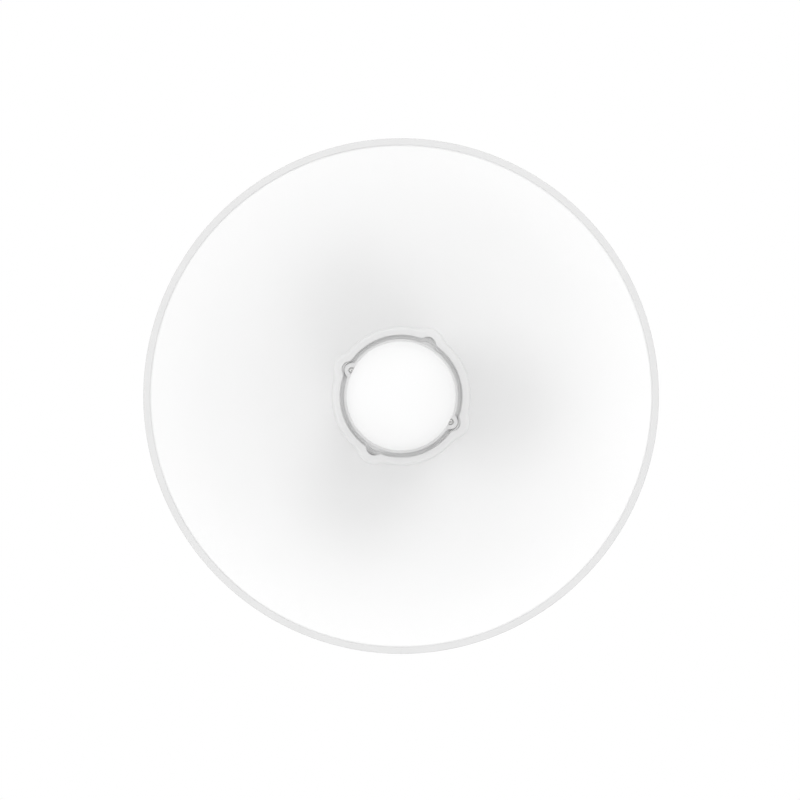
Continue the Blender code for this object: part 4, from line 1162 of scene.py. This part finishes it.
def on_collar(radius, turn, forward):
    """Where a point of the plain ring lies between the hole and the outer edge, above the dish."""
    inner = hub_hole(turn, 0.0)
    moved = inner + (collar_edge(turn) - inner) * (radius - SECTION_BASE) / SECTION_WIDTH
    foot = dish_forward(moved) + COLLAR_LIFT
    return moved, foot + (COLLAR_TOP - foot) * forward / SECTION_WIDTH


# Each pair runs from 0 at the hole to 1 at the outer edge, and from 0 on the dish to 1 at the top
collar_section = [
    (0.00, 0.00), (0.00, 0.88), (0.015, 0.94), (0.04, 0.97), (0.09, 0.99), (0.18, 0.997), (0.30, 1.00),
    (0.55, 0.995), (0.66, 0.97), (0.76, 0.915), (0.84, 0.83), (0.90, 0.71), (0.945, 0.56), (0.98, 0.40),
    (1.01, 0.25), (1.04, 0.13), (1.075, 0.05), (1.11, 0.01), (1.11, 0.00), (0.50, 0.00),
]
collar = turned(
    [(SECTION_BASE + SECTION_WIDTH * share, SECTION_WIDTH * rise) for share, rise in collar_section], 360
)
reshaped(collar, on_collar)
on_dish("moulded_hub_collar", collar, feed_white, "feed_plastic", "hub_collar", sharp=50.0)


# Hub gasket. The real one is a flat grey silicone seal with a bead along its outer edge, higher
# beside the two lugs and sunk in the two free notches. It lies in the hub's recess, under the gap.

GASKET_BACK = 0.0005
GASKET_FRONT = 0.0057
GASKET_CLEAR = 0.0004
FACE_DROP = 0.0002
BEAD_START = 0.79
BEAD_END = 0.947
BESIDE_LUGS = 0.0026
LUG_RAMP = 2.5
POCKET_START = 0.57
IN_POCKETS = 0.0013

seal_grey, spot = new_finish("grey silicone seal", specular=0.3)
bloom = spot.noise(160.0, 3.0)
skin = spot.noise(1300.0, 2.0)
show(
    seal_grey,
    colour=(bloom * 0.6 + skin * 0.4).greys(0.74, 0.795),
    roughness=(bloom * 0.2 + 0.58),
    relief=skin.relief(0.00005, 0.6),
)

gasket_section = [
    (0.0, -GASKET_FRONT + GASKET_BACK), (0.0, -FACE_DROP), (0.03, -FACE_DROP), (0.55, -FACE_DROP),
    (0.60, -0.0005), (0.745, -0.0005), (0.80, -0.0005), (0.84, 0.0003), (0.87, 0.0007), (0.945, 0.0008),
    (0.949, -FACE_DROP), (1.0, -FACE_DROP), (1.0, -GASKET_FRONT + GASKET_BACK),
]
gasket = turned(
    [(SECTION_BASE + SECTION_WIDTH * share, GASKET_FRONT + rise) for share, rise in gasket_section], 240
)


def in_recess(radius, turn, forward):
    """Spreads the plain ring out to the notched hole, and sets its height in the four notches."""
    share = (radius - SECTION_BASE) / SECTION_WIDTH
    in_notch = (hub_hole(turn, 0.0) - HOLE_RADIUS) / (NOTCH_RING + NOTCH_RADIUS - HOLE_RADIUS)
    beside_lug = math.sin(2.0 * turn) < 0.0
    if beside_lug and BEAD_START < share < BEAD_END:
        forward += BESIDE_LUGS * min(in_notch * LUG_RAMP, 1.0)
    if not beside_lug and share > POCKET_START and forward > GASKET_FRONT / 2:
        forward -= IN_POCKETS * in_notch
    return HUB_BORE + (hub_hole(turn, GASKET_CLEAR) - HUB_BORE) * share, forward


on_dish("beaded_hub_gasket", reshaped(gasket, in_recess), seal_grey, "hub_seal", "hub_gasket")


# Feed flange and its two screws. The real flange is the white moulded foot of the feed, with a
# round lug on each side that stands in a notch of the opening. Each lug is sunk for the head of
# the screw that goes through it into the hub's casting.

FLANGE_DISC = 0.0544
FLANGE_PLAIN = 0.0520
FLANGE_FRONT = 0.0085
FLANGE_BACK = 0.0060
LUG_RING = 0.0530
LUG_RADIUS = 0.0071
LUG_FILLET = 0.0030
LUG_ANGLES = {"left": 152.5, "right": 332.5}
LUG_SEAT = 0.0073
LUG_SEAT_RADIUS = 0.0031
LUG_SEAT_EDGE = 0.0003
LUG_SCREW_HEAD = 0.0022
LUG_SCREW_HEIGHT = 0.0016

feed_flange = turned([
    (0.0, FLANGE_BACK), (FLANGE_PLAIN, FLANGE_BACK), (FLANGE_DISC, FLANGE_BACK, 0.0004),
    (FLANGE_DISC, FLANGE_FRONT, 0.0006), (FLANGE_PLAIN, FLANGE_FRONT), (0.0, FLANGE_FRONT),
], 480)


def to_lugs(radius, turn, forward):
    """Draws the flange's edge out to its two lugs."""
    if radius > FLANGE_PLAIN + 0.0010:
        edge = eared(turn, FLANGE_DISC, LUG_RING, LUG_RADIUS, LUG_ANGLES.values(), LUG_FILLET)
        radius += edge - FLANGE_DISC
    return radius, forward


reshaped(feed_flange, to_lugs)
piece = on_dish("lugged_feed_flange", feed_flange, feed_white, "feed_plastic", "feed_flange")
seats = bmesh.new()
for angle in LUG_ANGLES.values():
    x, z = at_angle((0.0, 0.0), LUG_RING, angle)
    seat = turned([
        (0.0, LUG_SEAT), (LUG_SCREW_HEAD + 0.0002, LUG_SEAT),
        (LUG_SEAT_RADIUS, FLANGE_FRONT - LUG_SEAT_EDGE),
        (LUG_SEAT_RADIUS + 2 * LUG_SEAT_EDGE, FLANGE_FRONT + LUG_SEAT_EDGE),
        (0.0, FLANGE_FRONT + LUG_SEAT_EDGE),
    ], 64)
    joined(seats, placed(seat, (x, DISH_Y, z)))
bored(piece, seats)

for side, angle in LUG_ANGLES.items():
    x, z = at_angle((0.0, 0.0), LUG_RING, angle)
    seat = (x, DISH_Y - LUG_SEAT - SEAT_GAP, z)
    name = "lug_screw_" + side
    recessed_screw(name + "_pan_head", seat, LUG_SCREW_HEAD, LUG_SCREW_HEIGHT, 27.0, 0.0, name)


# Feed drum. The real one is a moulded tube that carries the feed in front of the dish. It has a short
# collar at its foot, a slight taper, and two fine mould lines. Its grey, darker than the cap, is painted
# shade: the drum throws less light back onto the dish, so the dish is darker round the hub.

DRUM_BACK = 0.0088
DRUM_FOOT_RADIUS = 0.0490
DRUM_TOP_RADIUS = 0.0480
DRUM_FRONT = 0.1337
DRUM_COLLAR = 0.0060
DRUM_LINE_X = 0.0481
DRUM_LINE = 0.00022

# Painted shade: the drum is greyer than the white cap so that the dish near the hub gets less light from it
drum_grey_painted_shade, spot = new_finish("moulded drum greyed as painted shade", specular=0.4)
grain = spot.noise(1500.0, 2.0, 0.55)
flow = spot.stretched(30.0, 8.0, 30.0).noise(1.0, 3.0)
show(
    drum_grey_painted_shade,
    colour=(grain * 0.3 + flow * 0.7).greys(0.597, 0.629),
    roughness=(grain * 0.12 + flow * 0.08 + 0.42),
    relief=grain.relief(0.00003, 0.7),
)

drum = turned([
    (0.0, DRUM_BACK), (DRUM_FOOT_RADIUS, DRUM_BACK, 0.0003),
    (DRUM_FOOT_RADIUS, DRUM_BACK + DRUM_COLLAR, 0.0006),
    (DRUM_FOOT_RADIUS - 0.0007, DRUM_BACK + DRUM_COLLAR + 0.0008, 0.0004),
    (DRUM_TOP_RADIUS, DRUM_FRONT - 0.0040), (DRUM_TOP_RADIUS, DRUM_FRONT, 0.0003), (0.0, DRUM_FRONT),
], 192)
for side in (0.0, 180.0):
    place = Matrix.Translation((DRUM_LINE_X, -(DRUM_FRONT + DRUM_BACK + 0.0080) / 2, 0.0))
    place = Matrix.Rotation(math.radians(side), 4, "Y") @ place @ Matrix.Rotation(math.pi / 2, 4, "X")
    add_rod(drum, DRUM_LINE, DRUM_FRONT - DRUM_BACK - 0.0120, 8, place)
on_dish("moulded_feed_drum", drum, drum_grey_painted_shade, "feed_plastic", "feed_drum")


# Feed cap. The real one is a white moulded dome, welded to the drum and a little wider than it. It
# keeps the weather off the feed, and its face is smooth and plain.

CAP_RADIUS = 0.0503
CAP_BACK = 0.1340
CAP_SHOULDER = 0.1360
CAP_FRONT = 0.1580
CAP_STEPS = 48

rise = CAP_FRONT - CAP_SHOULDER
turns = spread(math.pi / 2, 0.0, CAP_STEPS)
dome = [(CAP_RADIUS * math.sin(turn), CAP_SHOULDER + rise * math.cos(turn)) for turn in turns]
cap = turned([(0.0, CAP_BACK), (CAP_RADIUS, CAP_BACK, 0.0006), *dome], 256)
on_dish("domed_feed_cap", cap, feed_white, "feed_plastic", "feed_cap")


# Studio. A plain pale floor that fades out at its edge and throws no light back, a white tent that
# is brightest at the sides of the dish, and three soft lights in front, below, beside and above it.

FLOOR_Z = -0.4500
FLOOR_RADIUS = 0.9000
FLOOR_Y = -0.3500

floor_pale, spot = new_finish("pale studio floor")
across, deep, up = spot.parts()
back_y = deep - FLOOR_Y
from_middle = spot.maths("SQRT", across * across + back_y * back_y)
mottle = spot.noise(6.0, 3.0)
show(floor_pale, colour=mottle.greys(0.80, 0.84), roughness=(mottle * 0.1 + 0.6))
fade = from_middle.between(FLOOR_RADIUS * 0.45, FLOOR_RADIUS * 0.98, 1.0, 0.0)
floor_pale.node_tree.links.new(fade.socket, floor_pale.node_tree.nodes["Principled BSDF"].inputs["Alpha"])
floor_shape = bmesh.new()
middle = Matrix.Translation((0.0, FLOOR_Y, FLOOR_Z))
bmesh.ops.create_circle(floor_shape, cap_ends=True, segments=96, radius=FLOOR_RADIUS, matrix=middle)
floor_mesh = bpy.data.meshes.new("studio_floor")
floor_shape.to_mesh(floor_mesh)
floor_shape.free()
floor_mesh.materials.append(floor_pale)
floor = bpy.data.objects.new("studio_floor", floor_mesh)
bpy.context.scene.collection.objects.link(floor)
floor.visible_diffuse = False
floor.visible_glossy = False
floor.visible_shadow = False

LIGHT_REACH = 2.5
LIGHT_OFF_AXIS = 45.0
LIGHT_WIDTH = 1.2
LIGHTS = (("lower_light", -62.0, 6.0), ("left_light", 175.0, 8.7), ("upper_light", 67.0, 8.4))
RIM_FRONT_Y = -0.2620

light_out, light_ahead = at_angle((0.0, 0.0), LIGHT_REACH, 90.0 - LIGHT_OFF_AXIS)
for name, around, power in LIGHTS:
    x, z = at_angle((0.0, 0.0), light_out, around)
    place = Vector((x, RIM_FRONT_Y - light_ahead, z))
    lamp = bpy.data.lights.new(name, "AREA")
    lamp.shape = "SQUARE"
    lamp.size = LIGHT_WIDTH
    lamp.energy = power
    light = bpy.data.objects.new(name, lamp)
    light.visible_camera = False
    bpy.context.scene.collection.objects.link(light)
    light.location = place
    light.rotation_euler = (Vector((0.0, RIM_FRONT_Y, 0.0)) - place).to_track_quat("-Z", "Y").to_euler()

# Each row changes the tent's brightness between two angles off the dish's axis, in degrees
TENT_AHEAD = 0.65
TENT_CHANGES = (
    (10.0, 35.0, 0.27), (35.0, 52.0, 0.08), (56.0, 64.0, 1.10),
    (69.0, 84.0, -0.90), (86.0, 96.0, -0.90), (105.0, 145.0, 0.70),
)
WHITE = (1.0, 1.0, 1.0, 1.0)

studio = bpy.data.worlds.new("studio")
bpy.context.scene.world = studio
studio.use_nodes = True
tree = studio.node_tree
tree.nodes.clear()
seen_straight = Shade(tree, tree.nodes.new("ShaderNodeLightPath").outputs["Is Camera Ray"])
away = Shade(tree, tree.nodes.new("ShaderNodeTexCoord").outputs["Generated"]).parts()[1]
off_axis = away.maths("ARCCOSINE", -1.0 * away)
tent = TENT_AHEAD
for low, high, change in TENT_CHANGES:
    tent += off_axis.between(math.radians(low), math.radians(high), 0.0, change)
around_white = away.node("ShaderNodeBackground", {}, {"Color": WHITE, "Strength": tent})
seen_white = away.node("ShaderNodeBackground", {}, {"Color": WHITE, "Strength": 1.0})
both = away.node("ShaderNodeMixShader", {}, {0: seen_straight, 1: around_white, 2: seen_white})
away.node("ShaderNodeOutputWorld", {}, {"Surface": both})


# Camera. It looks straight into the dish, as the photo does, from 4 m in front of its rim. The
# dish's axis passes a little off the middle of the picture.

CAMERA_REACH = 4.0000
PICTURE = 800.0
PIXEL = 0.0009306
AXIS_COLUMN = 401.1
AXIS_ROW = 396.05
SENSOR = 36.0

sight = bpy.data.cameras.new("camera")
sight.sensor_width = SENSOR
sight.lens = SENSOR * CAMERA_REACH / (PICTURE * PIXEL)
sight.clip_end = 50.0
camera = bpy.data.objects.new("camera", sight)
bpy.context.scene.collection.objects.link(camera)
camera.location = (
    (PICTURE / 2 - AXIS_COLUMN) * PIXEL,
    RIM_FRONT_Y - CAMERA_REACH,
    (AXIS_ROW - PICTURE / 2) * PIXEL,
)
camera.rotation_euler = (math.radians(90.0), 0.0, 0.0)
bpy.context.scene.camera = camera
bpy.context.scene.view_settings.view_transform = "Standard"
